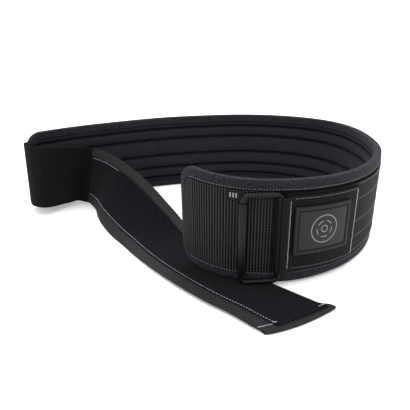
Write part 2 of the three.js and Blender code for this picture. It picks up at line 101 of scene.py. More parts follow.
def smoothstep(values: np.ndarray) -> np.ndarray:
    """Returns an eased step of values from 0 to 1."""
    t = np.clip(values, 0.0, 1.0)
    return t * t * (3 - 2 * t)


def soft_noise(u: np.ndarray, v: np.ndarray, wave: float, seed: int) -> np.ndarray:
    """Smooth unevenness, as the sum of a few waves in random directions.

    Args:
        u: first coordinate, in millimetres.
        v: second coordinate, in millimetres.
        wave: typical length of the unevenness, in millimetres.
        seed: seed of the directions.

    Returns:
        Values from about -1 to 1.
    """
    random = np.random.default_rng(seed)
    total = np.zeros(np.broadcast(u, v).shape)
    for _ in range(7):
        angle = random.uniform(0, 2 * math.pi)
        pitch = wave * random.uniform(0.7, 1.6)
        phase = random.uniform(0, 2 * math.pi)
        across = u * math.cos(angle) + v * math.sin(angle)
        total += np.sin(across * 2 * math.pi / pitch + phase)
    return total / 3.5


def travelled(points: np.ndarray) -> np.ndarray:
    """Returns the distance travelled along a line at each of its points."""
    return np.concatenate([[0], np.cumsum(np.linalg.norm(np.diff(points, axis=0), axis=1))])


def resample(points: np.ndarray, step: float) -> np.ndarray:
    """Places at even steps along a line of points.

    Args:
        points: the line, one row for each point.
        step: the step wanted, in millimetres.

    Returns:
        The places, the line's ends among them.
    """
    travel = travelled(points)
    count = max(2, int(round(travel[-1] / step)) + 1)
    wanted = np.linspace(0, travel[-1], count)
    return np.stack([np.interp(wanted, travel, points[:, i]) for i in range(points.shape[1])], 1)


def rounded_slab(low: float, high: float, near: float, far: float, step: float, radius: float) -> np.ndarray:
    """Outline of a thin layer with rounded edges.

    Args:
        low: level of its underside.
        high: level of its upper side.
        near: place of its near edge.
        far: place of its far edge.
        step: step of the points on both sides.
        radius: radius of the edges, at most half the thickness.

    Returns:
        Pairs of place and level, first along the upper side and back along the underside.
    """
    radius = min(radius, (high - low) / 2)
    count = max(2, int(round((far - near - 2 * radius) / step)) + 1)
    left, right, foot, top = near + radius, far - radius, low + radius, high - radius
    flat = np.linspace(left, right, count)
    turns = [(radius * math.sin(a), radius * math.cos(a)) for a in np.radians([15, 35, 60, 85])]
    rows = [(x, high) for x in flat]
    rows += [(right + dx, top + dz) for dx, dz in turns]
    rows += [(right + dx, foot - dz) for dx, dz in turns[::-1]]
    rows += [(x, low) for x in flat[::-1]]
    rows += [(left - dx, foot - dz) for dx, dz in turns]
    rows += [(left - dx, top + dz) for dx, dz in turns[::-1]]
    return np.array(rows)


def closed_uv(first: np.ndarray, second: np.ndarray) -> np.ndarray:
    """UV pairs for sections, with one more section and point that close the body.

    Args:
        first: first coordinate of each section.
        second: second coordinate of each point of each section.

    Returns:
        The pairs.
    """
    grid = np.stack([np.broadcast_to(first[:, None], second.shape), second], -1)
    grid = np.concatenate([grid, grid[:, :1]], 1)
    return np.concatenate([grid, grid[-1:]], 0)


# Plan of the wall and run of the strap, alike the frame's


@dataclass(frozen=True)
class Wall:
    """The belt's wall, as a band that is bent round a plan of nine arcs."""

    length: float = 870.0
    height: float = 100.0
    end_corner: float = 20.0
    heading: float = -64.4
    bends: tuple[float, ...] = (71.5, 39.1, 28.3, 34.2, 42.4, 35.7, 10.6, 13.1, 14.5)
    leans: tuple[float, ...] = (0.02, 0, 0.02, 0.015, 0.1, 0.042, 0.042, -0.01, -0.01)
    end_lift: float = 8.6
    lift_run: float = 260.0
    lift_fall: float = 1.5
    end_reach: float = 1.2

    def plan(self, along: np.ndarray) -> tuple[np.ndarray, np.ndarray, np.ndarray]:
        """Place and heading of the padding's face.

        Args:
            along: distances from the buckle end.

        Returns:
            The x, the y and the heading in radians at each distance.
        """
        along = np.asarray(along, float)
        inside = np.clip(along, 0, self.length)
        share = self.length / len(self.bends)
        starts = [(0.0, 0.0, math.radians(self.heading))]
        for bend in self.bends:
            x, y, h = starts[-1]
            k = math.radians(bend) / share
            end = h + k * share
            starts.append((x + (math.sin(end) - math.sin(h)) / k, y - (math.cos(end) - math.cos(h)) / k, end))
        table = np.array(starts)
        arc = np.minimum((inside / share).astype(int), len(self.bends) - 1)
        k = np.radians(np.array(self.bends))[arc] / share
        x, y, h = table[arc, 0], table[arc, 1], table[arc, 2]
        heading = h + k * (inside - arc * share)
        x = x + (np.sin(heading) - np.sin(h)) / k + np.cos(heading) * (along - inside)
        y = y - (np.cos(heading) - np.cos(h)) / k + np.sin(heading) * (along - inside)
        return x, y, heading

    def lift(self, along: np.ndarray) -> np.ndarray:
        """Returns how far the wall is raised, because its buckle end stands on the strap."""
        return self.end_lift * np.clip(1 - np.asarray(along) / self.lift_run, 0, 1) ** self.lift_fall

    def lean(self, along: np.ndarray) -> np.ndarray:
        """Returns how far the wall's top leans outwards, as a share of its height."""
        steps = np.array(self.leans)
        place = np.clip(along, 0, self.length) / self.length * (len(steps) - 1)
        i = np.minimum(place.astype(int), len(steps) - 2)
        return steps[i] + (steps[i + 1] - steps[i]) * smoothstep(place - i)

    def points(self, along: np.ndarray, height: np.ndarray, out: np.ndarray) -> np.ndarray:
        """Places in space of places on the wall.

        Args:
            along: distances from the buckle end.
            height: heights over the wall's foot.
            out: distances outwards from the face of the padding.

        Returns:
            The points, with the three coordinates last.
        """
        along, height, out = np.broadcast_arrays(*(np.asarray(a, float) for a in (along, height, out)))
        x, y, heading = self.plan(along - self.end_reach * np.clip(1 - along / 60, 0, 1) ** 2)
        reach = out + self.lean(along) * height
        x, y = x + np.sin(heading) * reach, y - np.cos(heading) * reach
        return np.stack([x, y, height + self.lift(along)], -1)

    def corner_reach(self, along: np.ndarray, margin: float) -> np.ndarray:
        """Half the height that a layer has, which falls at its rounded end corners.

        Args:
            along: distances from the buckle end.
            margin: the layer's inset from the wall's edge.

        Returns:
            The layer's half height at each distance.
        """
        radius = self.end_corner - margin
        half = self.height / 2 - margin
        to_end = np.maximum(0, np.minimum(along, self.length - along) - margin)
        short = np.clip(radius - to_end, 0, radius)
        return half - (radius - np.sqrt(radius**2 - short**2))


def catmull(points: np.ndarray, counts: Sequence[int]) -> np.ndarray:
    """A centripetal curve through points.

    Args:
        points: the points, one row for each.
        counts: the number of places on each span.

    Returns:
        The places on the curve, its last point among them.
    """
    p = np.vstack([2 * points[0] - points[1], points, 2 * points[-1] - points[-2]])
    made = []
    for i, count in enumerate(counts):
        a, b, c, d = p[i : i + 4]
        dt0, dt1, dt2 = (max(np.linalg.norm(q - r) ** 0.5, 1e-4) for q, r in ((b, a), (c, b), (d, c)))
        t1 = ((b - a) / dt0 - (c - a) / (dt0 + dt1) + (c - b) / dt1) * dt1
        t2 = ((c - b) / dt1 - (d - b) / (dt1 + dt2) + (d - c) / dt2) * dt1
        for j in range(count):
            t = j / count
            made.append(b + t1 * t + (-3 * b + 3 * c - 2 * t1 - t2) * t**2 + (2 * b - 2 * c + t1 + t2) * t**3)
    made.append(points[-1])
    return np.array(made)


@dataclass
class Ribbon:
    """The fastening strap's run, as frames with a near edge, a direction across and an upper side."""

    wall: Wall
    width: float = 76.2
    band_out: float = 3.7
    band_bottom: float = 11.9
    band_end: float = 859.8
    gap: float = 0.35
    sewn: float = 28.0
    wrap_radius: float = 4.6
    wrap_inset: float = 3.4
    hem_level: float = 1.9
    step: float = 1.6
    seam_row: int = 8
    table: tuple[tuple[float, ...], ...] = (
        (-0.2272, 0.1534, 1, 0.02, 0.02, 1),
        (-0.2196, 0.1467, 1, 0.03, 0.03, 1),
        (-0.2085, 0.1436, 1, 0.06, 0.05, 1),
        (-0.1994, 0.1504, 0.9, 0.1, 0.05, 1),
        (-0.1904, 0.1629, 0.8, 0.14, 0.04, 1),
        (-0.1816, 0.1791, 0.6, 0.2, 0.01, 0.98),
        (-0.1751, 0.1948, 0.4, 0.22, -0.03, 0.97),
        (-0.1679, 0.2022, 0.1, 0.19, -0.06, 0.98),
        (-0.1592, 0.2, 0.05, 0.17, -0.02, 0.98),
        (-0.1497, 0.1871, 0.04, 0.19, 0.06, 0.98),
        (-0.1394, 0.167, 0.02, 0.28, 0.15, 0.95),
        (-0.1314, 0.1397, 0, 0.45, 0.27, 0.85),
        (-0.1177, 0.1059, 0, 0.66, 0.41, 0.63),
        (-0.1004, 0.0732, 0, 0.77, 0.49, 0.4),
        (-0.0833, 0.0473, 0, 0.82, 0.54, 0.22),
        (-0.0651, 0.0179, 0.08, 0.82, 0.57, 0.05),
        (-0.0477, -0.0082, 0.16, 0.82, 0.57, -0.023),
        (-0.0306, -0.0315, 0.21, 0.83, 0.56, -0.03),
        (-0.0019, -0.066, 0.25, 0.83, 0.56, -0.0365),
        (0.0235, -0.0925, 0.25, 0.84, 0.54, -0.0365),
        (0.047, -0.1131, 0.21, 0.85, 0.53, -0.03),
        (0.0632, -0.13, 0.18, 0.85, 0.52, -0.008),
        (0.0771, -0.1431, 0.16, 0.86, 0.52, 0),
    )
    foot: np.ndarray = field(init=False)
    across: np.ndarray = field(init=False)
    along: np.ndarray = field(init=False)
    up: np.ndarray = field(init=False)
    travel: np.ndarray = field(init=False)
    seam: int = field(init=False)

    def __post_init__(self) -> None:
        """Works out the frames from the rulings."""
        top = self.band_bottom + self.width
        under = self.band_out + self.gap
        places = [(a, under) for a in self._sewn_places()]
        for degrees in (8, 40, 72):
            turn = math.radians(degrees)
            reach = under - self.wrap_radius + math.cos(turn) * self.wrap_radius
            places.append((self.wall.length - self.wrap_inset + math.sin(turn) * self.wrap_radius, reach))
        rows = np.array(places)
        feet = self.wall.points(rows[:, 0], self.band_bottom, rows[:, 1])
        tops = self.wall.points(rows[:, 0], top, rows[:, 1])
        table = np.array(self.table)
        free = table[:, :3] * [self.wall.length, self.wall.length, self.band_bottom]
        free[-1, 2] = self.hem_level
        foot = np.vstack([feet, free])
        across = np.vstack([unit(tops - feet), unit(table[:, 3:])])
        spans = np.linalg.norm(np.diff(foot, axis=0), axis=1)
        counts = [max(2, int(round(s / self.step))) for s in spans]
        self.foot = catmull(foot, counts)
        self.across = unit(catmull(across, counts))
        middle = self.foot + self.across * self.width / 2
        self.along = unit(np.gradient(middle, axis=0))
        self.up = unit(np.cross(self.along, self.across))
        self.travel = travelled(middle)
        self.seam = int(sum(counts[: len(rows) + self.seam_row]))

    def _sewn_places(self) -> list[float]:
        """Returns the places along the wall where the sewn end follows it."""
        count = round(self.wall.length / 13)
        even = [self.wall.length * i / count for i in range(count + 1)]
        start = self.band_end - self.sewn
        return [start] + [a for a in even if start + 1.5 < a < self.band_end - 1.5] + [self.band_end]

    def points(self, index: np.ndarray, across: np.ndarray, up: np.ndarray) -> np.ndarray:
        """Places in space of places on the ribbon.

        Args:
            index: numbers of the frames, which may lie between two frames.
            across: distances from the near edge.
            up: distances over the underside.

        Returns:
            The points, with the three coordinates last.
        """
        index, across, up = np.broadcast_arrays(*(np.asarray(a, float) for a in (index, across, up)))
        low = np.clip(index.astype(int), 0, len(self.foot) - 2)
        share = (index - low)[..., None]
        foot = self.foot[low] * (1 - share) + self.foot[low + 1] * share
        side = unit(self.across[low] * (1 - share) + self.across[low + 1] * share)
        over = unit(self.up[low] * (1 - share) + self.up[low + 1] * share)
        return foot + side * across[..., None] + over * up[..., None]

    def index_at(self, travel: np.ndarray) -> np.ndarray:
        """Returns the frame numbers at distances along the ribbon's middle line."""
        return np.interp(travel, self.travel, np.arange(len(self.travel)))


# Meshes


@dataclass
class Workshop:
    """Turns grids of points into closed, smooth meshes in the frame."""

    origin: np.ndarray

    def link(self, name: str, bm: bmesh.types.BMesh, body: str, sharp: float) -> bpy.types.Object:
        """Closes a bmesh into an object that rides on a body.

        Args:
            name: the object's name.
            bm: the bmesh, in metres, in the frame's axes. It is freed.
            body: the body that the object rides on.
            sharp: the angle in degrees past which an edge is drawn sharp.

        Returns:
            The new object.
        """
        bmesh.ops.remove_doubles(bm, verts=bm.verts, dist=1e-6)
        bmesh.ops.recalc_face_normals(bm, faces=bm.faces)
        mesh = bpy.data.meshes.new(name)
        bm.to_mesh(mesh)
        bm.free()
        mesh.polygons.foreach_set("use_smooth", [True] * len(mesh.polygons))
        mesh.set_sharp_from_angle(angle=math.radians(sharp))
        made = bpy.data.objects.new(name, mesh)
        bpy.context.scene.collection.objects.link(made)
        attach(made, body)
        return made

    def loft(
        self,
        name: str,
        sections: np.ndarray,
        uv: np.ndarray,
        ring: bool = False,
    ) -> bpy.types.Object:
        """A closed body through a row of sections with as many points each.

        Args:
            name: the object's name.
            sections: points in millimetres, by section and by point.
            uv: pairs in millimetres for the same points, with one more section and point at
                the end, which close the body.
            ring: whether the last section joins the first.

        Returns:
            The new object.
        """
        rows, size = sections.shape[:2]
        places = (sections.reshape(-1, 3) + self.origin) * MM
        mesh = bpy.data.meshes.new(name)
        links = rows if ring else rows - 1
        i, j = np.meshgrid(np.arange(links), np.arange(size), indexing="ij")
        after, beside = (i + 1) % rows, (j + 1) % size
        quads = np.stack([i * size + j, i * size + beside, after * size + beside, after * size + j], -1)
        corners = np.stack([uv[i, j], uv[i, j + 1], uv[i + 1, j + 1], uv[i + 1, j]], 2).reshape(-1, 2)
        faces = quads.reshape(-1, 4).tolist()
        if not ring:
            faces += [list(range(size))[::-1], [(rows - 1) * size + k for k in range(size)]]
            corners = np.vstack([corners, uv[0, :size][::-1], uv[rows - 1, :size]])
        mesh.from_pydata(places.tolist(), [], faces)
        layer = mesh.uv_layers.new(name="surface")
        layer.data.foreach_set("uv", corners.astype(np.float32).ravel())
        bm = bmesh.new()
        bm.from_mesh(mesh)
        bpy.data.meshes.remove(mesh)
        return self.link(name, bm, BELT, 50.0)

    def thread(self, name: str, paths: Sequence["Path"], seam: "Seam") -> bpy.types.Object:
        """Rows of stitches as one mesh of small closed beads.

        Args:
            name: the object's name.
            paths: the rows' lines on the cloth, with the cloth's outward direction.
            seam: the stitch that they are sewn with.

        Returns:
            The new object.
        """
        starts, ends, ups = [], [], []
        for path in paths:
            travel = travelled(path.points)
            pitch = seam.length + seam.gap
            count = int((travel[-1] + seam.gap) / pitch)
            first = (np.arange(count) * pitch) + (travel[-1] - count * pitch + seam.gap) / 2
            for reach, into in ((first, starts), (first + seam.length, ends)):
                into.append(np.stack([np.interp(reach, travel, path.points[:, k]) for k in range(3)], 1))
            middle = first + seam.length / 2
            ups.append(np.stack([np.interp(middle, travel, path.ups[:, k]) for k in range(3)], 1))
        start, end, up = np.vstack(starts), np.vstack(ends), unit(np.vstack(ups))
        side = unit(np.cross(end - start, up))
        rings, sides = 5, 6
        shares = np.array([0.0, 0.14, 0.5, 0.86, 1.0])
        fat = np.array([0.3, 0.85, 1.0, 0.85, 0.3])
        rise = np.array([-0.9, 0.1, 0.55, 0.1, -0.9])
        turns = np.radians(np.arange(0, 360, 360 // sides))
        core = start[:, None] * (1 - shares)[None, :, None] + end[:, None] * shares[None, :, None]
        core = core + up[:, None] * (rise * seam.height)[None, :, None]
        round_up = np.cos(turns)[None, None, :, None] * up[:, None, None] * seam.height
        round_side = np.sin(turns)[None, None, :, None] * side[:, None, None] * seam.width / 2
        beads = core[:, :, None] + (round_up + round_side) * fat[None, :, None, None]
        first = (np.arange(len(beads)) * rings * sides)[:, None, None]
        k, j = np.meshgrid(np.arange(rings - 1) * sides, np.arange(sides), indexing="ij")
        beside = (j + 1) % sides
        tube = np.stack([k + j, k + beside, k + sides + beside, k + sides + j], -1)
        quads = (tube.reshape(1, -1, 4) + first).reshape(-1, 4).tolist()
        cap = np.arange(sides)
        caps = np.stack([cap[::-1], cap + (rings - 1) * sides])
        ends_of = (caps[None] + first).reshape(-1, sides).tolist()
        mesh = bpy.data.meshes.new(name)
        mesh.from_pydata(((beads.reshape(-1, 3) + self.origin) * MM).tolist(), [], quads + ends_of)
        bm = bmesh.new()
        bm.from_mesh(mesh)
        bpy.data.meshes.remove(mesh)
        return self.link(name, bm, BELT, 80.0)


@dataclass(frozen=True)
class Seam:
    """A sewing thread's stitch: its length, the gap to the next one, its width and its height."""

    length: float = 2.6
    gap: float = 0.9
    width: float = 0.62
    height: float = 0.28


@dataclass(frozen=True)
class Path:
    """A line on the cloth, with the cloth's outward direction at each point."""

    points: np.ndarray
    ups: np.ndarray


def wall_path(wall: Wall, places: np.ndarray, side: Side = Side.OUTSIDE, fine: float = 1.2) -> Path:
    """A line on the wall.

    Args:
        wall: the wall.
        places: rows of the distance along, the height and the distance outwards.
        side: the face of the wall that the line lies on.
        fine: the step of the line's points, in millimetres.

    Returns:
        The line, at even steps.
    """
    along, height, out = resample(np.asarray(places, float), fine).T
    points = wall.points(along, height, out)
    ups = unit(wall.points(along, height, out + 1) - points)
    return Path(points, ups if side is Side.OUTSIDE else -ups)


def strap_path(strap: Ribbon, places: np.ndarray, fine: float = 1.2) -> Path:
    """A line on the strap.

    Args:
        strap: the strap's run.
        places: rows of the distance along the middle line, across from the near edge and up.
        fine: the step of the line's points, in millimetres.

    Returns:
        The line, at even steps.
    """
    travel, across, up = resample(np.asarray(places, float), fine).T
    index = strap.index_at(travel)
    points = strap.points(index, across, up)
    return Path(points, unit(strap.points(index, across, up + 1) - points))


# Materials


def linear(hex_code: str) -> tuple[float, float, float, float]:
    """Returns a colour of the shader for an sRGB hex code."""
    parts = [int(hex_code.lstrip("#")[i : i + 2], 16) / 255 for i in (0, 2, 4)]
    made = [c / 12.92 if c <= 0.04045 else ((c + 0.055) / 1.055) ** 2.4 for c in parts]
    return (made[0], made[1], made[2], 1.0)


def add_node(
    tree: bpy.types.NodeTree,
    kind: str,
    settings: dict[str, object] | None = None,
    values: dict[str | int, object] | None = None,
    links: dict[str | int, bpy.types.NodeSocket] | None = None,
) -> bpy.types.Node:
    """Adds a node with its settings and links.

    Args:
        tree: the node tree.
        kind: the node's type name.
        settings: the node's properties.
        values: values of unlinked inputs, by socket name or number.
        links: sockets that feed the node's inputs, by socket name or number.

    Returns:
        The new node.
    """
    node = tree.nodes.new(kind)
    for key, value in (settings or {}).items():
        setattr(node, key, value)
    for key, value in (values or {}).items():
        node.inputs[key].default_value = value
    for key, socket in (links or {}).items():
        tree.links.new(socket, node.inputs[key])
    return node


def scaled(
    tree: bpy.types.NodeTree, value: bpy.types.NodeSocket, factor: float, added: float | bpy.types.NodeSocket
) -> bpy.types.NodeSocket:
    """Adds a node that multiplies a value and adds to it.

    Args:
        tree: the node tree.
        value: the socket with the value.
        factor: what it is multiplied by.
        added: the number or the socket that is added.

    Returns:
        The socket with the result.
    """
    links = {0: value}
    values = {1: factor}
    if isinstance(added, bpy.types.NodeSocket):
        links[2] = added
    else:
        values[2] = added
    return add_node(tree, "ShaderNodeMath", {"operation": "MULTIPLY_ADD"}, values, links).outputs[0]


def add_noise(tree: bpy.types.NodeTree, wave: float, detail: float, roughness: float) -> bpy.types.NodeSocket:
    """Adds noise on object coordinates.

    Args:
        tree: the node tree.
        wave: the noise's typical length in millimetres.
        detail: how many finer layers it has.
        roughness: how strong the finer layers are.

    Returns:
        The socket with the noise.
    """
    place = add_node(tree, "ShaderNodeTexCoord").outputs["Object"]
    values = {"Scale": 1 / (wave * MM), "Detail": detail, "Roughness": roughness}
    return add_node(tree, "ShaderNodeTexNoise", None, values, {"Vector": place}).outputs["Fac"]


def add_bump(tree: bpy.types.NodeTree, depth: float, height: bpy.types.NodeSocket) -> None:
    """Adds a bump to the tree's shader.

    Args:
        tree: the node tree.
        depth: how deep it looks, in millimetres.
        height: the socket with the relief.
    """
    values = {"Strength": 1.0, "Distance": depth * MM}
    bump = add_node(tree, "ShaderNodeBump", None, values, {"Height": height})
    tree.links.new(bump.outputs["Normal"], tree.nodes["Principled BSDF"].inputs["Normal"])


@dataclass(frozen=True)
class Weave:
    """Threads across a cloth: their pitches in millimetres, and how deep and how marked they look."""

    along: float
    across: float
    depth: float = 0.12
    contrast: float = 0.5
    # Whether the colour paints shade in the gaps between ribs and light on the rib tops.
    ribbed: bool = False


@dataclass(frozen=True)
class Cloth:
    """A woven or brushed cloth."""

    name: str
    dark: str
    light: str
    roughness: float = 0.9
    sheen: float = 0.25
    sheen_tint: str = "#c9ccd4"
    sheen_roughness: float = 0.5
    weave: Weave | None = None
    mottle: float = 6.0
    nap: float = 0.9
    nap_depth: float = 0.15
    specular: float = 0.3
    # Whether the colour takes painted shade in the stitched grooves, from the mesh's raised attribute.
    quilted: bool = False

    def make(self) -> bpy.types.Material:
        """Builds the material from threads, mottling and nap on the piece's own UV map, with painted shade in
        the grooves of a quilted cloth.

        Returns:
            The material.
        """
        material = bpy.data.materials.new(self.name)
        material.use_nodes = True
        tree = material.node_tree
        shader = tree.nodes["Principled BSDF"]
        shade = add_noise(tree, self.mottle, 6.0, 0.62)
        height = add_noise(tree, self.nap, 3.0, 0.7)
        # Painted shade: the colour darkens towards each stitched seam of the quilted lining, following the
        # mesh's raised attribute.
        if self.quilted:
            raised = add_node(tree, "ShaderNodeAttribute", {"attribute_name": "raised"}).outputs["Fac"]
            shade = scaled(tree, raised, 0.38, scaled(tree, shade, 0.4, 0.1))
        depth, contrast = self.nap_depth, 0.0
        if self.weave is not None:
            depth, contrast = self.weave.depth, self.weave.contrast
            uv = add_node(tree, "ShaderNodeUVMap", {"uv_map": "surface"}).outputs["UV"]
            waves = []
            for axis, pitch in (("X", self.weave.along), ("Y", self.weave.across)):
                wave = add_node(
                    tree,
                    "ShaderNodeTexWave",
                    {"wave_type": "BANDS", "bands_direction": axis, "wave_profile": "SIN"},
                    {"Scale": WAVE_SCALE / pitch, "Distortion": 0.25, "Detail": 1.0, "Detail Scale": 0.4},
                    {"Vector": uv},
                )
                waves.append(wave.outputs["Fac"])
            # Ribbed weaves paint shade into the gaps between the ribs and light on the rib tops, over the
            # ribs' own thread pattern.
            if self.weave.ribbed:
                waves[1] = scaled(tree, waves[1], 0.75, 0.25)
            both = dict(enumerate(waves))
            threads = add_node(tree, "ShaderNodeMath", {"operation": "MULTIPLY"}, links=both).outputs[0]
            height = scaled(tree, height, 0.3, threads)
            shade = scaled(tree, threads, contrast, scaled(tree, shade, 1 - contrast, 0.0))
        ramp = add_node(tree, "ShaderNodeValToRGB", links={"Fac": shade})
        ramp.color_ramp.elements[0].position = 0.32 * (1 - contrast) + (0.3 if contrast > 0.8 else 0)
        ramp.color_ramp.elements[0].color = linear(self.dark)
        ramp.color_ramp.elements[1].position = 0.78 * (1 - contrast) + 0.85 * contrast
        ramp.color_ramp.elements[1].color = linear(self.light)
        tree.links.new(ramp.outputs["Color"], shader.inputs["Base Color"])
        add_bump(tree, depth, height)
        shader.inputs["Roughness"].default_value = self.roughness
        shader.inputs["Sheen Weight"].default_value = self.sheen
        shader.inputs["Sheen Tint"].default_value = linear(self.sheen_tint)
        shader.inputs["Sheen Roughness"].default_value = self.sheen_roughness
        shader.inputs["Specular IOR Level"].default_value = self.specular
        return material


@dataclass(frozen=True)
class Coating:
    """A smooth or grained hard finish, such as paint on steel or moulded rubber."""

    name: str
    colour: str
    roughness: float
    ior: float = 1.5
    grain: float = 0.5
    grain_depth: float = 0.01

    def make(self) -> bpy.types.Material:
        """Builds the material, with a fine grain on object coordinates.

        Returns:
            The material.
        """
        material = bpy.data.materials.new(self.name)
        material.use_nodes = True
        tree = material.node_tree
        shader = tree.nodes["Principled BSDF"]
        add_bump(tree, self.grain_depth, add_noise(tree, self.grain, 2.0, 0.5))
        shader.inputs["Base Color"].default_value = linear(self.colour)
        shader.inputs["Roughness"].default_value = self.roughness
        shader.inputs["IOR"].default_value = self.ior
        return material


# Brushed polyester over foam: rolls with a short, softly lit nap, and painted shade that darkens the stitched
# grooves between them nearly to black.
LINING_FINISH = Cloth(
    "brushed_polyester_lining",
    "#030304",
    "#1f2025",
    sheen=0.05,
    mottle=3.5,
    nap=0.8,
    nap_depth=0.2,
    specular=0.08,
    quilted=True,
)
# Plain woven nylon backing: nearly black, in a narrow strip between the webbing and the binding.
SHELL_FINISH = Cloth(
    "woven_nylon_shell", "#040405", "#0c0c0e", sheen=0.02, weave=Weave(0.9, 0.9, 0.08), specular=0.1
)
# Brushed polyester binding tape: a felted nap with a visible grey bloom.
BINDING_FINISH = Cloth(
    "felted_polyester_binding",
    "#020203",
    "#303036",
    sheen=0.07,
    mottle=1.7,
    nap_depth=0.6,
    specular=0.08,
)
# Heavy ribbed webbing: its ribs are real, and its colour also paints light on the rib tops, in dots,
# and shade in the black gaps between the ribs. This and the next three weaves are drawn two to three
# times coarser than real threads, so that they show.
RIBBED_FINISH = Cloth(
    "ribbed_nylon_webbing",
    "#010101",
    "#464445",
    roughness=0.7,
    sheen=0.01,
    weave=Weave(2.7, 1.5, 0.3, 0.9, True),
    specular=0.1,
)
# Nylon seat-belt webbing: a close weave with a slight shine.
BAND_FINISH = Cloth(
    "woven_nylon_webbing",
    "#010102",
    "#1f1f20",
    roughness=0.75,
    sheen=0.02,
    weave=Weave(2.6, 2.0, 0.3, 0.85),
    specular=0.1,
)
# Elastic webbing: a close rib with a dull black face.
ELASTIC_FINISH = Cloth(
    "ribbed_elastic_webbing",
    "#020202",
    "#161414",
    roughness=0.8,
    sheen=0.015,
    weave=Weave(2.4, 1.6, 0.25, 0.8),
    specular=0.08,
)
# Nylon tape of the strap: its bare borders look grey and checked.
STRAP_FINISH = Cloth(
    "grey_nylon_strap",
    "#0a0a0b",
    "#404045",
    roughness=0.75,
    sheen=0.04,
    weave=Weave(2.6, 2.1, 0.3, 0.95),
    specular=0.15,
)
# Brushed loop fabric: a dense, dark, matt nap.
LOOP_FINISH = Cloth(
    "brushed_loop_fabric",
    "#040406",
    "#141418",
    roughness=1.0,
    sheen=0.04,
    mottle=1.8,
    nap=1.0,
    nap_depth=0.9,
    specular=0.04,
)
# Woven satin label: nearly black, with a faint shine.
LABEL_FINISH = Cloth(
    "woven_satin_label",
    "#020202",
    "#070708",
    roughness=0.6,
    sheen=0.01,
    weave=Weave(0.5, 0.5, 0.04),
    specular=0.15,
)
# Polyester thread: mid grey, slightly glossy.
THREAD_FINISH = Coating("light_polyester_thread", "#66676b", 0.6, grain=0.4, grain_depth=0.02)
# The same thread, made lighter as a painted highlight, for the dense bars and the strap's lit rows.
LIT_THREAD_FINISH = Coating("lit_polyester_thread", "#97979c", 0.6, grain=0.4, grain_depth=0.02)
# The same thread in painted shade, a dull grey, for the binding's inside and buckle end and for the far strap
# row past its lit stretch.
SHADED_THREAD_FINISH = Coating("shaded_polyester_thread", "#26262a", 0.8, ior=1.2, grain=0.4, grain_depth=0.02)
# Moulded rubber: dull, with a fine pebble, and a smoother plate inside its rim.
RUBBER_FINISH = Coating("moulded_rubber_patch", "#121214", 0.6, ior=1.3, grain=0.7, grain_depth=0.03)
PLATE_FINISH = Coating("satin_rubber_plate", "#141416", 0.5, ior=1.3, grain=0.6, grain_depth=0.02)
# Grey rubber paint of the patch's plain weight-plate mark and of the label's marks.
PRINT_FINISH = Coating("grey_print", "#737378", 0.6, grain=0.5, grain_depth=0.01)
# Powder-coated steel wire: black, with an even satin light.
COATED_STEEL = Coating("powder_coated_steel", "#08080a", 0.4, ior=1.27, grain=0.8, grain_depth=0.03)
# Plain pale floor, without gloss.
FLOOR_FINISH = Coating("plain_floor", "#fbfbfb", 0.9, grain=40.0, grain_depth=0.0)


# Sub-assemblies


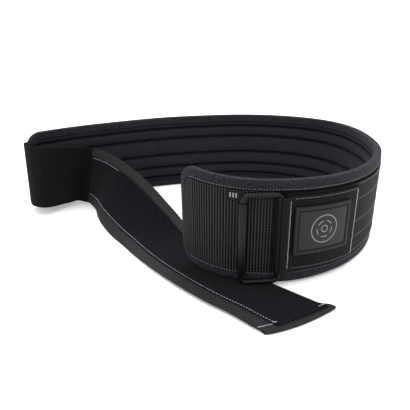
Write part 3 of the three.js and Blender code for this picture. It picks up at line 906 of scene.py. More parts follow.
@dataclass
class PaddedWall:
    """The padded lining, its backing and the binding round the wall's edge."""

    shop: Workshop
    wall: Wall
    rows: tuple[float, ...] = STITCH_ROWS
    edge: float = 1.35
    pressed: float = 4.0
    full: float = 6.5
    sewn: float = 1.7
    # Width from each seam over which the lining's colour takes painted shade.
    groove: float = 3.6
    binding_width: float = 9.6
    binding_out: float = 2.9
    binding_in: float = -5.35
    binding_thickness: float = 1.0
    bulge: float = 2.4
    hang: float = 1.8
    hang_out: float = 0.5
    hung_run: tuple[float, float] = (60.0, 175.0)
    shell: tuple[float, float] = (0.35, 1.55)
    edge_seam: Seam = Seam(1.3, 1.4, 0.7, 0.4)

    def rolls(self, height: np.ndarray) -> tuple[np.ndarray, np.ndarray]:
        """Place in the roll of padding between two seams.

        Args:
            height: heights over the wall's foot.

        Returns:
            The distance from the roll's middle as a share of its half width, and its width.
        """
        margin = self.binding_width - 1
        seams = np.array([margin, *sorted(self.rows), self.wall.height - margin])
        roll = np.clip(np.searchsorted(seams, height) - 1, 0, len(seams) - 2)
        wide = seams[roll + 1] - seams[roll]
        return np.clip(np.abs(2 * (height - seams[roll]) / wide - 1), 0, 1), wide

    def thickness(self, along: np.ndarray, height: np.ndarray) -> np.ndarray:
        """How thick the padding is between its stitched channels.

        Args:
            along: distances from the buckle end.
            height: heights over the wall's foot.

        Returns:
            The thickness at each place.
        """
        to_row = np.min([np.abs(height - row) for row in self.rows], axis=0)
        share, wide = self.rolls(height)
        filled = (1 - share**2.1) ** 0.6
        thick = self.sewn + (self.full - self.sewn - 0.05 * np.maximum(0, 16 - wide)) * filled
        thick += 0.16 * soft_noise(along, height, 26, 3) * filled
        pucker = np.sin(along * 2 * math.pi / 3.6) * np.exp(-to_row / 2.2)
        thick += 0.09 * pucker * soft_noise(along, height * 0, 60, 5)
        radius = self.wall.end_corner
        to_end = np.minimum(along, self.wall.length - along)
        to_side = np.minimum(height, self.wall.height - height)
        cornered = radius - np.hypot(radius - to_end, radius - to_side)
        inset = np.where((to_end < radius) & (to_side < radius), cornered, np.minimum(to_end, to_side))
        under = smoothstep((inset - self.binding_width + 0.3) / 2.2)
        return self.pressed * (1 - under) + np.maximum(thick, self.sewn) * under

    def build_lining(self) -> bpy.types.Object:
        """Builds the padded lining, quilted along its rows, with painted shade in its grooves.

        Returns:
            The lining.
        """
        along = np.linspace(self.edge, self.wall.length - self.edge, 560)
        reach = self.wall.corner_reach(along, self.edge)
        shares = np.sin(np.linspace(-1, 1, 109) * math.pi / 2 * 0.94) / math.sin(math.pi / 2 * 0.94)
        heights = self.wall.height / 2 + reach[:, None] * shares[None, :]
        inner = -self.thickness(along[:, None], heights)
        outer_heights = heights[:, ::12]
        sections = np.concatenate(
            [
                self.wall.points(along[:, None], heights, inner),
                self.wall.points(along[:, None], outer_heights[:, ::-1], np.zeros_like(outer_heights)),
            ],
            axis=1,
        )
        levels = np.concatenate([heights, outer_heights[:, ::-1]], axis=1)
        made = self.shop.loft("lining", sections, closed_uv(along, levels))
        # The raised value runs from 0 at a seam to 1 a groove's width from it; the material paints shade
        # where it is low.
        spots = np.empty(2 * len(made.data.loops), np.float32)
        made.data.uv_layers["surface"].data.foreach_get("uv", spots)
        share, wide = self.rolls(spots[1::2].astype(float))
        from_seam = (1 - share) * wide / 2
        raised = made.data.attributes.new("raised", "FLOAT", "CORNER")
        raised.data.foreach_set("value", smoothstep(from_seam / self.groove).astype(np.float32))
        made.data.materials.append(LINING_FINISH.make())
        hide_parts("padded_lining")
        return made

    def build_shell(self) -> bpy.types.Object:
        """Builds the cloth that backs the padding.

        Returns:
            The backing.
        """
        along = np.linspace(self.edge, self.wall.length - self.edge, 300)
        reach = self.wall.corner_reach(along, self.edge)
        shares = np.linspace(-1, 1, 15)
        heights = self.wall.height / 2 + reach[:, None] * shares[None, :]
        low, high = self.shell
        sections = np.concatenate(
            [
                self.wall.points(along[:, None], heights, low),
                self.wall.points(along[:, None], heights[:, ::-1], high),
            ],
            axis=1,
        )
        levels = np.concatenate([heights, heights[:, ::-1]], axis=1)
        made = self.shop.loft("shell", sections, closed_uv(along, levels))
        made.data.materials.append(SHELL_FINISH.make())
        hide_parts("outer_shell")
        return made

    def edge_line(self, step: float) -> np.ndarray:
        """The line round the wall's edge.

        Args:
            step: the step between places, in millimetres.

        Returns:
            Rows of the distance along, the height and the inward direction in the wall.
        """
        r = self.wall.end_corner
        length, height = self.wall.length, self.wall.height
        rows = []
        for x0, z0, x1, z1, start in (
            (r, 0, length - r, 0, -90),
            (length, r, length, height - r, 0),
            (length - r, height, r, height, 90),
            (0, height - r, 0, r, 180),
        ):
            angle = math.radians(start)
            inward = (-math.cos(angle), -math.sin(angle))
            count = max(2, int(math.hypot(x1 - x0, z1 - z0) / step))
            for i in range(count + 1):
                share = i / count
                rows.append((x0 + (x1 - x0) * share, z0 + (z1 - z0) * share, *inward))
            cx, cz = x1 + inward[0] * r, z1 + inward[1] * r
            turns = max(4, int(r * math.pi / 2 / step))
            for i in range(1, turns):
                a = angle + math.pi / 2 * i / turns
                rows.append((cx + r * math.cos(a), cz + r * math.sin(a), -math.cos(a), -math.sin(a)))
        return np.array(rows)

    def build_binding(self) -> bpy.types.Object:
        """Builds the tape that wraps the edge, with its slight waves.

        Returns:
            The binding.
        """
        step = 1.7
        edge = self.edge_line(step)
        w, t = self.binding_width, self.binding_thickness
        out, into = self.binding_out, self.binding_in
        middle, half = (out + into) / 2, (out - into) / 2
        outer = [(w, out - t * 0.4), (w - 0.35, out)]
        outer += [(x, out) for x in (7.4, 6.0, 4.4)]
        for degrees in (84, 70, 56, 42, 28, 14, 0, -14, -28, -42, -56, -70, -84):
            a = math.radians(degrees)
            level = middle + half * math.copysign(abs(math.sin(a)) ** 0.75, a)
            outer.append((self.bulge * (1 - math.cos(a) ** 0.75), level))
        outer += [(x, into) for x in (4.4, 6.0, 7.4)]
        outer += [(w - 0.35, into), (w, into + t * 0.4)]
        inner = [(w, into + t), (6.0, into + t)]
        for degrees in (-70, -35, 0, 35, 70):
            a = math.radians(degrees)
            depth = t + 0.4 + (self.bulge - 0.4) * (1 - math.cos(a))
            inner.append((depth, middle + (half - t) * math.sin(a)))
        inner += [(6.0, out - t), (w, out - t)]
        profile = np.array(outer + inner)
        travel = travelled(edge[:, :2])
        wave = 0.22 * soft_noise(travel, travel * 0, 34, 8)
        depth = profile[None, :, 0] + wave[:, None] * (profile[None, :, 0] > 5)
        puff = 0.12 * soft_noise(travel[:, None], profile[None, :, 0] * 3, 9, 9)
        level = profile[None, :, 1] + puff * np.sign(profile[None, :, 1] - middle)
        level = np.clip(level, into - 0.25, out + 0.25)
        along = edge[:, None, 0] + edge[:, None, 2] * depth
        height = edge[:, None, 1] + edge[:, None, 3] * depth
        first, last = self.hung_run
        hung = smoothstep((edge[:, 0] - first) / 30) * smoothstep((last - edge[:, 0]) / 60)
        hung = hung * (edge[:, 3] > 0.9)
        low = hung[:, None] * np.clip(1 - depth / 6, 0, 1) * (level > middle)
        height = height - self.hang * low
        level = level + self.hang_out * low
        sections = self.wall.points(along, height, level)
        girth = travelled(profile)
        uv = np.stack(np.broadcast_arrays(travel[:, None], girth[None, :]), -1)
        uv = np.concatenate([uv, uv[:, -1:] + [0, 1]], 1)
        uv = np.concatenate([uv, uv[-1:] + [step, 0]], 0)
        made = self.shop.loft("binding", sections, uv, ring=True)
        made.data.materials.append(BINDING_FINISH.make())
        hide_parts("edge_binding")
        return made

    def build_threads(self) -> list[bpy.types.Object]:
        """Sews the binding: with the thread outside, and with the same thread in painted shade inside and
        along the buckle end.

        Returns:
            The outside stitches, and the stitches in painted shade.
        """
        edge = self.edge_line(1.2)
        rows = {}
        for side, level, inset in (
            (Side.OUTSIDE, self.binding_out, 8.5),
            (Side.INSIDE, self.binding_in, 7.9),
        ):
            along = edge[:, 0] + edge[:, 2] * inset
            height = edge[:, 1] + edge[:, 3] * inset
            places = np.stack([along, height, np.full_like(along, level)], 1)
            rows[side] = np.vstack([places, places[:1]])
        start, outside = self.wall.end_corner - 4, rows[Side.OUTSIDE]
        ending = outside[outside[:, 0] <= start]
        ending = ending[np.argsort(ending[:, 1])]
        outside = outside[outside[:, 0] > start]
        upper = outside[:, 1] > self.wall.height / 2
        halves = (outside[upper], outside[~upper])
        light = [wall_path(self.wall, line[np.argsort(line[:, 0])]) for line in halves]
        # The buckle end's row and the inside row take the thread in painted shade.
        dark = [wall_path(self.wall, ending), wall_path(self.wall, rows[Side.INSIDE], Side.INSIDE)]
        made = []
        for name, lines, finish in (
            ("binding_thread", light, THREAD_FINISH),
            ("shaded_binding_thread", dark, SHADED_THREAD_FINISH),
        ):
            sewn = self.shop.thread(name, lines, self.edge_seam)
            sewn.data.materials.append(finish.make())
            made.append(sewn)
        return made

    def build(self) -> list[bpy.types.Object]:
        """Returns the wall's pieces."""
        return [self.build_lining(), self.build_shell(), self.build_binding(), *self.build_threads()]


@dataclass
class Webbing:
    """The webbing on the outside of the wall: ribbed panel, band, tab, and their stitches."""

    shop: Workshop
    wall: Wall
    margin: float = 10.2
    inner: float = 1.9
    ribbed_out: float = 3.4
    band_out: float = 3.7
    band_bottom: float = 11.9
    band_top: float = 88.1
    bar_along: float = BAR_ALONG
    bar_out: float = BAR_OUT
    fold_in: float = 2.65
    tab_in: float = 4.25
    tab_thickness: float = 1.8
    tab_foot: float = 11.2
    tab_height: float = 74.4
    tab_length: float = 88.0
    settle: float = 14.0
    rib_pitch: float = 2.7
    rib_depth: float = 0.75
    knot_pitch: float = 1.5
    plain_run: float = 19.0
    seam: Seam = Seam(1.7, 1.2, 0.66, 0.32)
    bar_seam: Seam = Seam(1.6, 0.1, 0.7, 0.34)
    rows: tuple[float, ...] = STITCH_ROWS

    def strip(
        self,
        name: str,
        ends: tuple[float, float],
        heights: tuple[float, float],
        levels: tuple[float, float],
        relief: Callable[[np.ndarray, np.ndarray], np.ndarray],
        step: float,
    ) -> bpy.types.Object:
        """A strip of webbing on the wall, inside the binding's rounded corners.

        Args:
            name: the object's name.
            ends: distances along the wall.
            heights: its foot and its top.
            levels: its inner and its outer face.
            relief: what its outer face stands proud of its level, by distance and height.
            step: the step along the wall.

        Returns:
            The strip.
        """
        along = np.linspace(*ends, int((ends[1] - ends[0]) / step) + 1)
        reach = self.wall.corner_reach(along, self.margin)
        low = np.maximum(heights[0], self.wall.height / 2 - reach)
        high = np.minimum(heights[1], self.wall.height / 2 + reach)
        width = heights[1] - heights[0]
        outline = rounded_slab(*levels, 0, width, 1.1, 0.55)
        share = outline[:, 0] / width
        height = low[:, None] + (high - low)[:, None] * share[None, :]
        level = np.broadcast_to(outline[:, 1], height.shape).copy()
        face = outline[:, 1] >= levels[1] - 1e-6
        level[:, face] += relief(along[:, None], height[:, face])
        sections = self.wall.points(along[:, None], height, level)
        finer = along - 0.8 * np.maximum(0, self.plain_run - along)
        return self.shop.loft(name, sections, closed_uv(finer, height))

    def rib_relief(self, along: np.ndarray, height: np.ndarray) -> np.ndarray:
        """Relief of ribs that stand upright, with a plain woven run near the wall's end.

        Args:
            along: distances from the buckle end.
            height: heights over the wall's foot.

        Returns:
            The relief in millimetres, at most zero.
        """
        turn = along * math.pi / self.rib_pitch
        ribs = np.abs(np.sin(turn)) ** 0.8 - 1
        knots = 0.10 * np.cos(height * 2 * math.pi / self.knot_pitch) * np.cos(turn)
        past_end = smoothstep((along - self.plain_run) / 3)
        return (self.rib_depth * ribs + knots) * past_end + 0.04 * soft_noise(along, height, 18, 21)

    def build_ribbed(self) -> bpy.types.Object:
        """Builds the ribbed panel at the buckle end.

        Returns:
            The panel.
        """
        to = self.bar_along - self.fold_in - self.tab_thickness - 0.35
        made = self.strip(
            "ribbed_webbing",
            (self.margin, to),
            (self.margin, self.wall.height - self.margin),
            (self.inner, self.ribbed_out),
            self.rib_relief,
            0.32,
        )
        made.data.materials.append(RIBBED_FINISH.make())
        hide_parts("ribbed_panel")
        return made

    def build_band(self) -> bpy.types.Object:
        """Builds the band of webbing that runs from the buckle to the strap's end.

        Returns:
            The band.
        """

        def relief(along: np.ndarray, height: np.ndarray) -> np.ndarray:
            """Returns the sunk stitch rows and a little unevenness."""
            to_row = np.min([np.abs(height - row) for row in self.rows[1:-1]], axis=0)
            return -0.3 * np.exp(-((to_row / 1.3) ** 2)) + 0.05 * soft_noise(along, height, 30, 23)

        made = self.strip(
            "band_webbing",
            (self.bar_along + 5, self.wall.length - self.margin),
            (self.band_bottom, self.band_top),
            (self.inner, self.band_out),
            relief,
            1.8,
        )
        made.data.materials.append(BAND_FINISH.make())
        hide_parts("outer_band")
        return made

    def tab_level(self, along: float) -> float:
        """Returns the level of the tab's inner side, which comes down from the bar to the band."""
        fall = self.bar_out + self.fold_in - self.tab_in
        return self.tab_in + fall * float(smoothstep(np.array(1 - (along - self.bar_along) / self.settle)))

    def tab_run(self) -> tuple[np.ndarray, np.ndarray]:
        """The folded tab's run past the bar.

        Returns:
            Rows of distance and level of its inner side, and the outward directions in the same pair.
        """
        places = [(self.bar_along + 4.65, self.inner + self.tab_thickness)]
        outward = [(0.0, -1.0)]
        for i in range(25):
            angle = -math.pi / 2 - math.pi * i / 24
            dx, dz = math.cos(angle), math.sin(angle)
            places.append((self.bar_along + dx * self.fold_in, self.bar_out + dz * self.fold_in))
            outward.append((dx, dz))
        fall = self.bar_out + self.fold_in - self.tab_in
        slope = math.atan2(fall, self.settle)
        for share in np.linspace(0, 1, 13)[1:-1]:
            turn = slope * math.sin(share * math.pi)
            level = self.tab_level(self.bar_along + self.settle * share)
            places.append((self.bar_along + self.settle * share, level))
            outward.append((math.sin(turn), math.cos(turn)))
        for along in np.arange(self.settle, self.tab_length + 0.1, 2.0):
            places.append((self.bar_along + along, self.tab_in))
            outward.append((0.0, 1.0))
        return np.array(places), np.array(outward)

    def build_tab(self) -> bpy.types.Object:
        """Builds the tab that is folded round the buckle's bar.

        Returns:
            The tab.
        """
        run, outward = self.tab_run()
        outline = rounded_slab(0, self.tab_thickness, 0, self.tab_height, 1.5, 0.6)
        level = outline[None, :, 1]
        along = run[:, None, 0] + outward[:, None, 0] * level
        out = run[:, None, 1] + outward[:, None, 1] * level
        height = self.tab_foot + outline[None, :, 0] + np.zeros_like(along)
        proud = (outline[:, 1] > self.tab_thickness - 1e-6)[None, :]
        out = out + proud * 0.1 * soft_noise(along, height, 24, 31)
        sections = self.wall.points(along, height, out)
        made = self.shop.loft("tab_webbing", sections, closed_uv(travelled(run), height))
        made.data.materials.append(BAND_FINISH.make())
        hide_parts("buckle_tab")
        return made

    def build_threads(self) -> list[bpy.types.Object]:
        """Sews the tab with rows and dense bars of stitches, and the band with its rows.

        Returns:
            The rows and the bars.
        """
        top = self.tab_foot + self.tab_height
        out = self.tab_in + self.tab_thickness
        left, right = self.bar_along + self.settle - 5.6, self.bar_along + self.tab_length - 2.4
        low, high = self.tab_foot + 3.2, top - 2.0
        first = self.bar_along + self.settle - 1
        last = right - 1.2
        paths = [wall_path(self.wall, np.array([(first, h, out), (last, h, out)])) for h in (low, high)]
        turns = np.arange(low, high, 0.9)
        swing = np.where(np.arange(len(turns)) % 2 == 0, -1.0, 1.0)
        bars = []
        for centre, reach in ((left, 0.2), (right, 0.85)):
            level = self.tab_level(centre) + self.tab_thickness + (0.12 if centre < right else 0.0)
            places = np.stack([centre + swing * reach, turns, np.full_like(turns, level)], 1)
            bars.append(wall_path(self.wall, places, fine=0.2))
        start, finish = self.bar_along + self.tab_length + 1.0, self.wall.length - self.margin - 26
        rows = [(row, self.band_out - 0.15) for row in self.rows[1:-1]]
        rows += [(self.band_bottom + 2.0, self.band_out), (self.band_top - 2.0, self.band_out)]
        for row, level in rows:
            paths.append(wall_path(self.wall, np.array([(start, row, level), (finish, row, level)])))
        made = []
        for name, lines, seam, finish in (
            ("webbing_thread", paths, self.seam, THREAD_FINISH),
            # The dense bars take the thread with a painted highlight.
            ("bar_thread", bars, self.bar_seam, LIT_THREAD_FINISH),
        ):
            sewn = self.shop.thread(name, lines, seam)
            sewn.data.materials.append(finish.make())
            made.append(sewn)
        return made

    def build(self) -> list[bpy.types.Object]:
        """Returns the webbing's pieces."""
        return [self.build_ribbed(), self.build_band(), self.build_tab(), *self.build_threads()]


@dataclass
class Badge:
    """The moulded patch on the tab and the small label at the buckle end."""

    shop: Workshop
    wall: Wall
    along: float = 116.0
    foot: float = 28.5
    length: float = 60.0
    height: float = 47.0
    under: float = 6.4
    base: float = 1.2
    rim: float = 1.4
    rim_width: float = 3.0
    plate_inset: float = 4.2
    plate: float = 0.9
    corner: float = 1.6
    label_along: float = 56.8
    label_length: float = 13.7
    label_foot: float = 79.8
    label_height: float = 10.0
    label_in: float = 3.75
    label_thickness: float = 0.5
    mark_width: float = 0.8
    mark_radius: float = 13.6
    mark_bore: float = 3.2
    mark_grips: float = 8.0
    bar_width: float = 1.3
    bar_height: float = 4.4
    bar_pitch: float = 2.6

    def relief(self, inset: np.ndarray) -> np.ndarray:
        """Height of the patch over its underside, by the distance from its edge.

        Args:
            inset: distances from the patch's edge.

        Returns:
            The heights.
        """
        steps = [0, 0.25, 0.8, self.rim_width - 0.5, self.rim_width, self.rim_width + 0.35]
        steps += [self.plate_inset, self.plate_inset + 0.3, self.plate_inset + 0.8, 60]
        rim = self.base + self.rim
        face = self.base + self.plate
        levels = [rim - 0.8, rim - 0.3, rim, rim, rim - 0.25, self.base]
        levels += [self.base, face - 0.15, face, face]
        return np.interp(inset, steps, levels)

    def build_patch(self) -> bpy.types.Object:
        """Builds the moulded patch: rim, groove and plate.

        Returns:
            The patch.
        """
        edges = np.array([0, 0.25, 0.5, 0.8, 1.6, 2.5, 3.0, 3.35, 3.8, 4.2, 4.5, 5.0])
        lines = []
        for size in (self.length, self.height):
            lines.append(np.concatenate([edges, np.arange(6.0, size - 5.9, 1.4), size - edges[::-1]]))
        u, v = np.meshgrid(lines[0], lines[1], indexing="ij")
        inset = np.minimum(np.minimum(u, self.length - u), np.minimum(v, self.height - v))
        level = self.under + self.relief(inset)
        rows, size = u.shape
        bm = bmesh.new()
        upper = self.wall.points(self.along + u, self.foot + v, level)
        lower = self.wall.points(self.along + u, self.foot + v, np.full_like(level, self.under))
        grids = []
        for grid in (upper, lower):
            places = (grid + self.shop.origin) * MM
            grids.append([[bm.verts.new(places[i, j]) for j in range(size)] for i in range(rows)])
        plate = self.plate_inset - 0.1
        for grid in grids:
            for i in range(rows - 1):
                for j in range(size - 1):
                    face = bm.faces.new((grid[i][j], grid[i + 1][j], grid[i + 1][j + 1], grid[i][j + 1]))
                    centre = (inset[i, j] + inset[i + 1, j + 1]) / 2
                    face.material_index = 1 if grid is grids[0] and centre > plate else 0
        border = [(i, 0) for i in range(rows)] + [(rows - 1, j) for j in range(1, size)]
        border += [(i, size - 1) for i in range(rows - 2, -1, -1)] + [(0, j) for j in range(size - 2, 0, -1)]
        for (a, b), (c, d) in zip(border, border[1:] + border[:1]):
            bm.faces.new((grids[0][a][b], grids[0][c][d], grids[1][c][d], grids[1][a][b]))
        made = self.shop.link("patch", bm, BELT, 60.0)
        made.data.materials.append(RUBBER_FINISH.make())
        made.data.materials.append(PLATE_FINISH.make())
        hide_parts("badge_patch")
        return made

    def strokes(self, name: str, lines: Sequence[np.ndarray], width: float, level: float) -> bpy.types.Object:
        """Thin printed strokes on the wall's outside, as one mesh.

        Args:
            name: the object's name.
            lines: each stroke's middle line, as rows of the distance along and the height.
            width: the strokes' width.
            level: level of the face that they lie on.

        Returns:
            The strokes.
        """
        bm = bmesh.new()
        for line in lines:
            ahead = unit(np.gradient(line, axis=0))
            closed = bool(np.allclose(line[0], line[-1]))
            if closed:
                ahead[0] = ahead[-1] = unit(line[1] - line[-2])
            side = np.stack([-ahead[:, 1], ahead[:, 0]], 1) * width / 2
            rims = []
            for edge, lift in ((side, -0.05), (-side, -0.05), (-side, 0.1), (side, 0.1)):
                spots = self.wall.points(line[:, 0] + edge[:, 0], line[:, 1] + edge[:, 1], level + lift)
                rims.append([bm.verts.new(spot * MM) for spot in spots + self.shop.origin])
            for i in range(len(line) - 1):
                for k in range(4):
                    one, two = rims[k], rims[(k + 1) % 4]
                    bm.faces.new((one[i], two[i], two[i + 1], one[i + 1]))
            if not closed:
                bm.faces.new([rim[0] for rim in rims])
                bm.faces.new([rim[-1] for rim in rims][::-1])
        made = self.shop.link(name, bm, BELT, 40.0)
        made.data.materials.append(PRINT_FINISH.make())
        return made

    def build_mark(self) -> bpy.types.Object:
        """Prints a plain weight plate on the patch: a rim, a bore and five grips.

        Returns:
            The mark.
        """
        centre = np.array([self.along + self.length / 2, self.foot + self.height / 2])
        lines = []
        spans = [(self.mark_radius, 0, 360), (self.mark_bore, 0, 360)]
        spans += [(self.mark_grips, start, start + 44) for start in range(32, 392, 72)]
        for radius, first, last in spans:
            turns = np.radians(np.linspace(first, last, max(7, (last - first) // 9 + 1)))
            lines.append(centre + radius * np.stack([np.cos(turns), np.sin(turns)], 1))
        made = self.strokes("patch_mark", lines, self.mark_width, self.under + self.base + self.plate)
        return made

    def build_label_marks(self) -> bpy.types.Object:
        """Weaves three plain light bars into the label.

        Returns:
            The bars.
        """
        foot = self.label_foot + 2.8
        places = [self.label_along + 3.4 + self.bar_pitch * k for k in range(3)]
        lines = [np.array([(place, foot), (place, foot + self.bar_height)]) for place in places]
        made = self.strokes("label_marks", lines, self.bar_width, self.label_in + self.label_thickness)
        return made

    def build_label(self) -> bpy.types.Object:
        """Builds the small woven label.

        Returns:
            The label.
        """
        along = np.linspace(self.label_along, self.label_along + self.label_length, 13)
        face = self.label_in + self.label_thickness
        outline = rounded_slab(self.label_in, face, 0, self.label_height, 1.0, 0.2)
        height = self.label_foot + outline[None, :, 0] + np.zeros((len(along), 1))
        sections = self.wall.points(along[:, None], height, outline[None, :, 1])
        made = self.shop.loft("label", sections, closed_uv(along, height))
        made.data.materials.append(LABEL_FINISH.make())
        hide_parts("size_label")
        return made

    def build(self) -> list[bpy.types.Object]:
        """Returns the patch and the label with their marks."""
        return [self.build_patch(), self.build_mark(), self.build_label(), self.build_label_marks()]


@dataclass
class Buckle:
    """The wire ring on its fixed bar and the roller on its free bar, in the frame's metres."""

    bar: Vector
    roller: Vector
    wire: float = 4.6
    height: float = 90.0
    spacing: float = 34.0
    corner: float = 4.0
    roller_diameter: float = 7.6
    roller_wall: float = 1.1
    roller_length: float = 72.0

    def _place(self, bm: bmesh.types.BMesh) -> None:
        """Turns and moves a ring drawn in its own plane on to the bars."""
        turn = math.atan2(self.roller.y - self.bar.y, self.roller.x - self.bar.x)
        bmesh.ops.scale(bm, vec=(MM, MM, MM), verts=bm.verts)
        bmesh.ops.rotate(bm, cent=(0, 0, 0), matrix=Matrix.Rotation(turn, 3, "Z"), verts=bm.verts)
        bmesh.ops.translate(bm, vec=self.bar, verts=bm.verts)

    def build_ring(self, shop: Workshop) -> bpy.types.Object:
        """Bends the ring from round wire.

        Args:
            shop: the workshop.

        Returns:
            The ring.
        """
        half = (self.height - self.wire) / 2
        r = self.corner
        bm = bmesh.new()
        made = bmesh.ops.create_circle(bm, cap_ends=False, radius=self.wire / 2, segments=24)
        bmesh.ops.translate(bm, vec=(0, 0, r - half), verts=made["verts"])
        edges = list(bm.edges)
        near, far, low, high = r, self.spacing - r, r - half, half - r
        for centre, straight in (
            ((near, 0, low), (far - near, 0, 0)),
            ((far, 0, low), (0, 0, high - low)),
            ((far, 0, high), (near - far, 0, 0)),
            ((near, 0, high), (0, 0, low - high)),
        ):
            turned = bmesh.ops.spin(
                bm, geom=edges, cent=centre, axis=(0, -1, 0), angle=math.pi / 2, steps=9, use_duplicate=False
            )
            edges = [g for g in turned["geom_last"] if isinstance(g, bmesh.types.BMEdge)]
            pulled = bmesh.ops.extrude_edge_only(bm, edges=edges)
            verts = [g for g in pulled["geom"] if isinstance(g, bmesh.types.BMVert)]
            edges = [g for g in pulled["geom"] if isinstance(g, bmesh.types.BMEdge)]
            edges = [e for e in edges if all(v in verts for v in e.verts)]
            bmesh.ops.translate(bm, vec=straight, verts=verts)
        bmesh.ops.remove_doubles(bm, verts=bm.verts, dist=0.01)
        self._place(bm)
        ring = shop.link("ring", bm, RING, 60.0)
        ring.data.materials.append(COATED_STEEL.make())
        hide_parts("buckle_ring")
        return ring

    def build_roller(self, shop: Workshop) -> bpy.types.Object:
        """Turns the roller, a tube with rounded ends.

        Args:
            shop: the workshop.

        Returns:
            The roller.
        """
        outer = self.roller_diameter / 2
        inner = outer - self.roller_wall
        half = self.roller_length / 2
        profile = [(inner, 0.2 - half), (inner + 0.2, -half)]
        profile += [(outer - 0.5, -half), (outer - 0.15, 0.15 - half), (outer, 0.5 - half)]
        profile += [(x, -z) for x, z in reversed(profile)]
        bm = bmesh.new()
        verts = [bm.verts.new((x, 0, z)) for x, z in profile]
        edges = [bm.edges.new(pair) for pair in zip(verts, verts[1:] + verts[:1])]
        bmesh.ops.spin(
            bm,
            geom=edges,
            cent=(0, 0, 0),
            axis=(0, 0, 1),
            angle=2 * math.pi,
            steps=40,
            use_merge=True,
            use_duplicate=False,
        )
        bmesh.ops.translate(bm, vec=(self.spacing, 0, 0), verts=bm.verts)
        self._place(bm)
        roller = shop.link("roller", bm, ROLLER, 40.0)
        roller.data.materials.append(COATED_STEEL.make())
        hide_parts("buckle_roller")
        return roller

    def build(self, shop: Workshop) -> list[bpy.types.Object]:
        """Returns the ring and the roller."""
        return [self.build_ring(shop), self.build_roller(shop)]


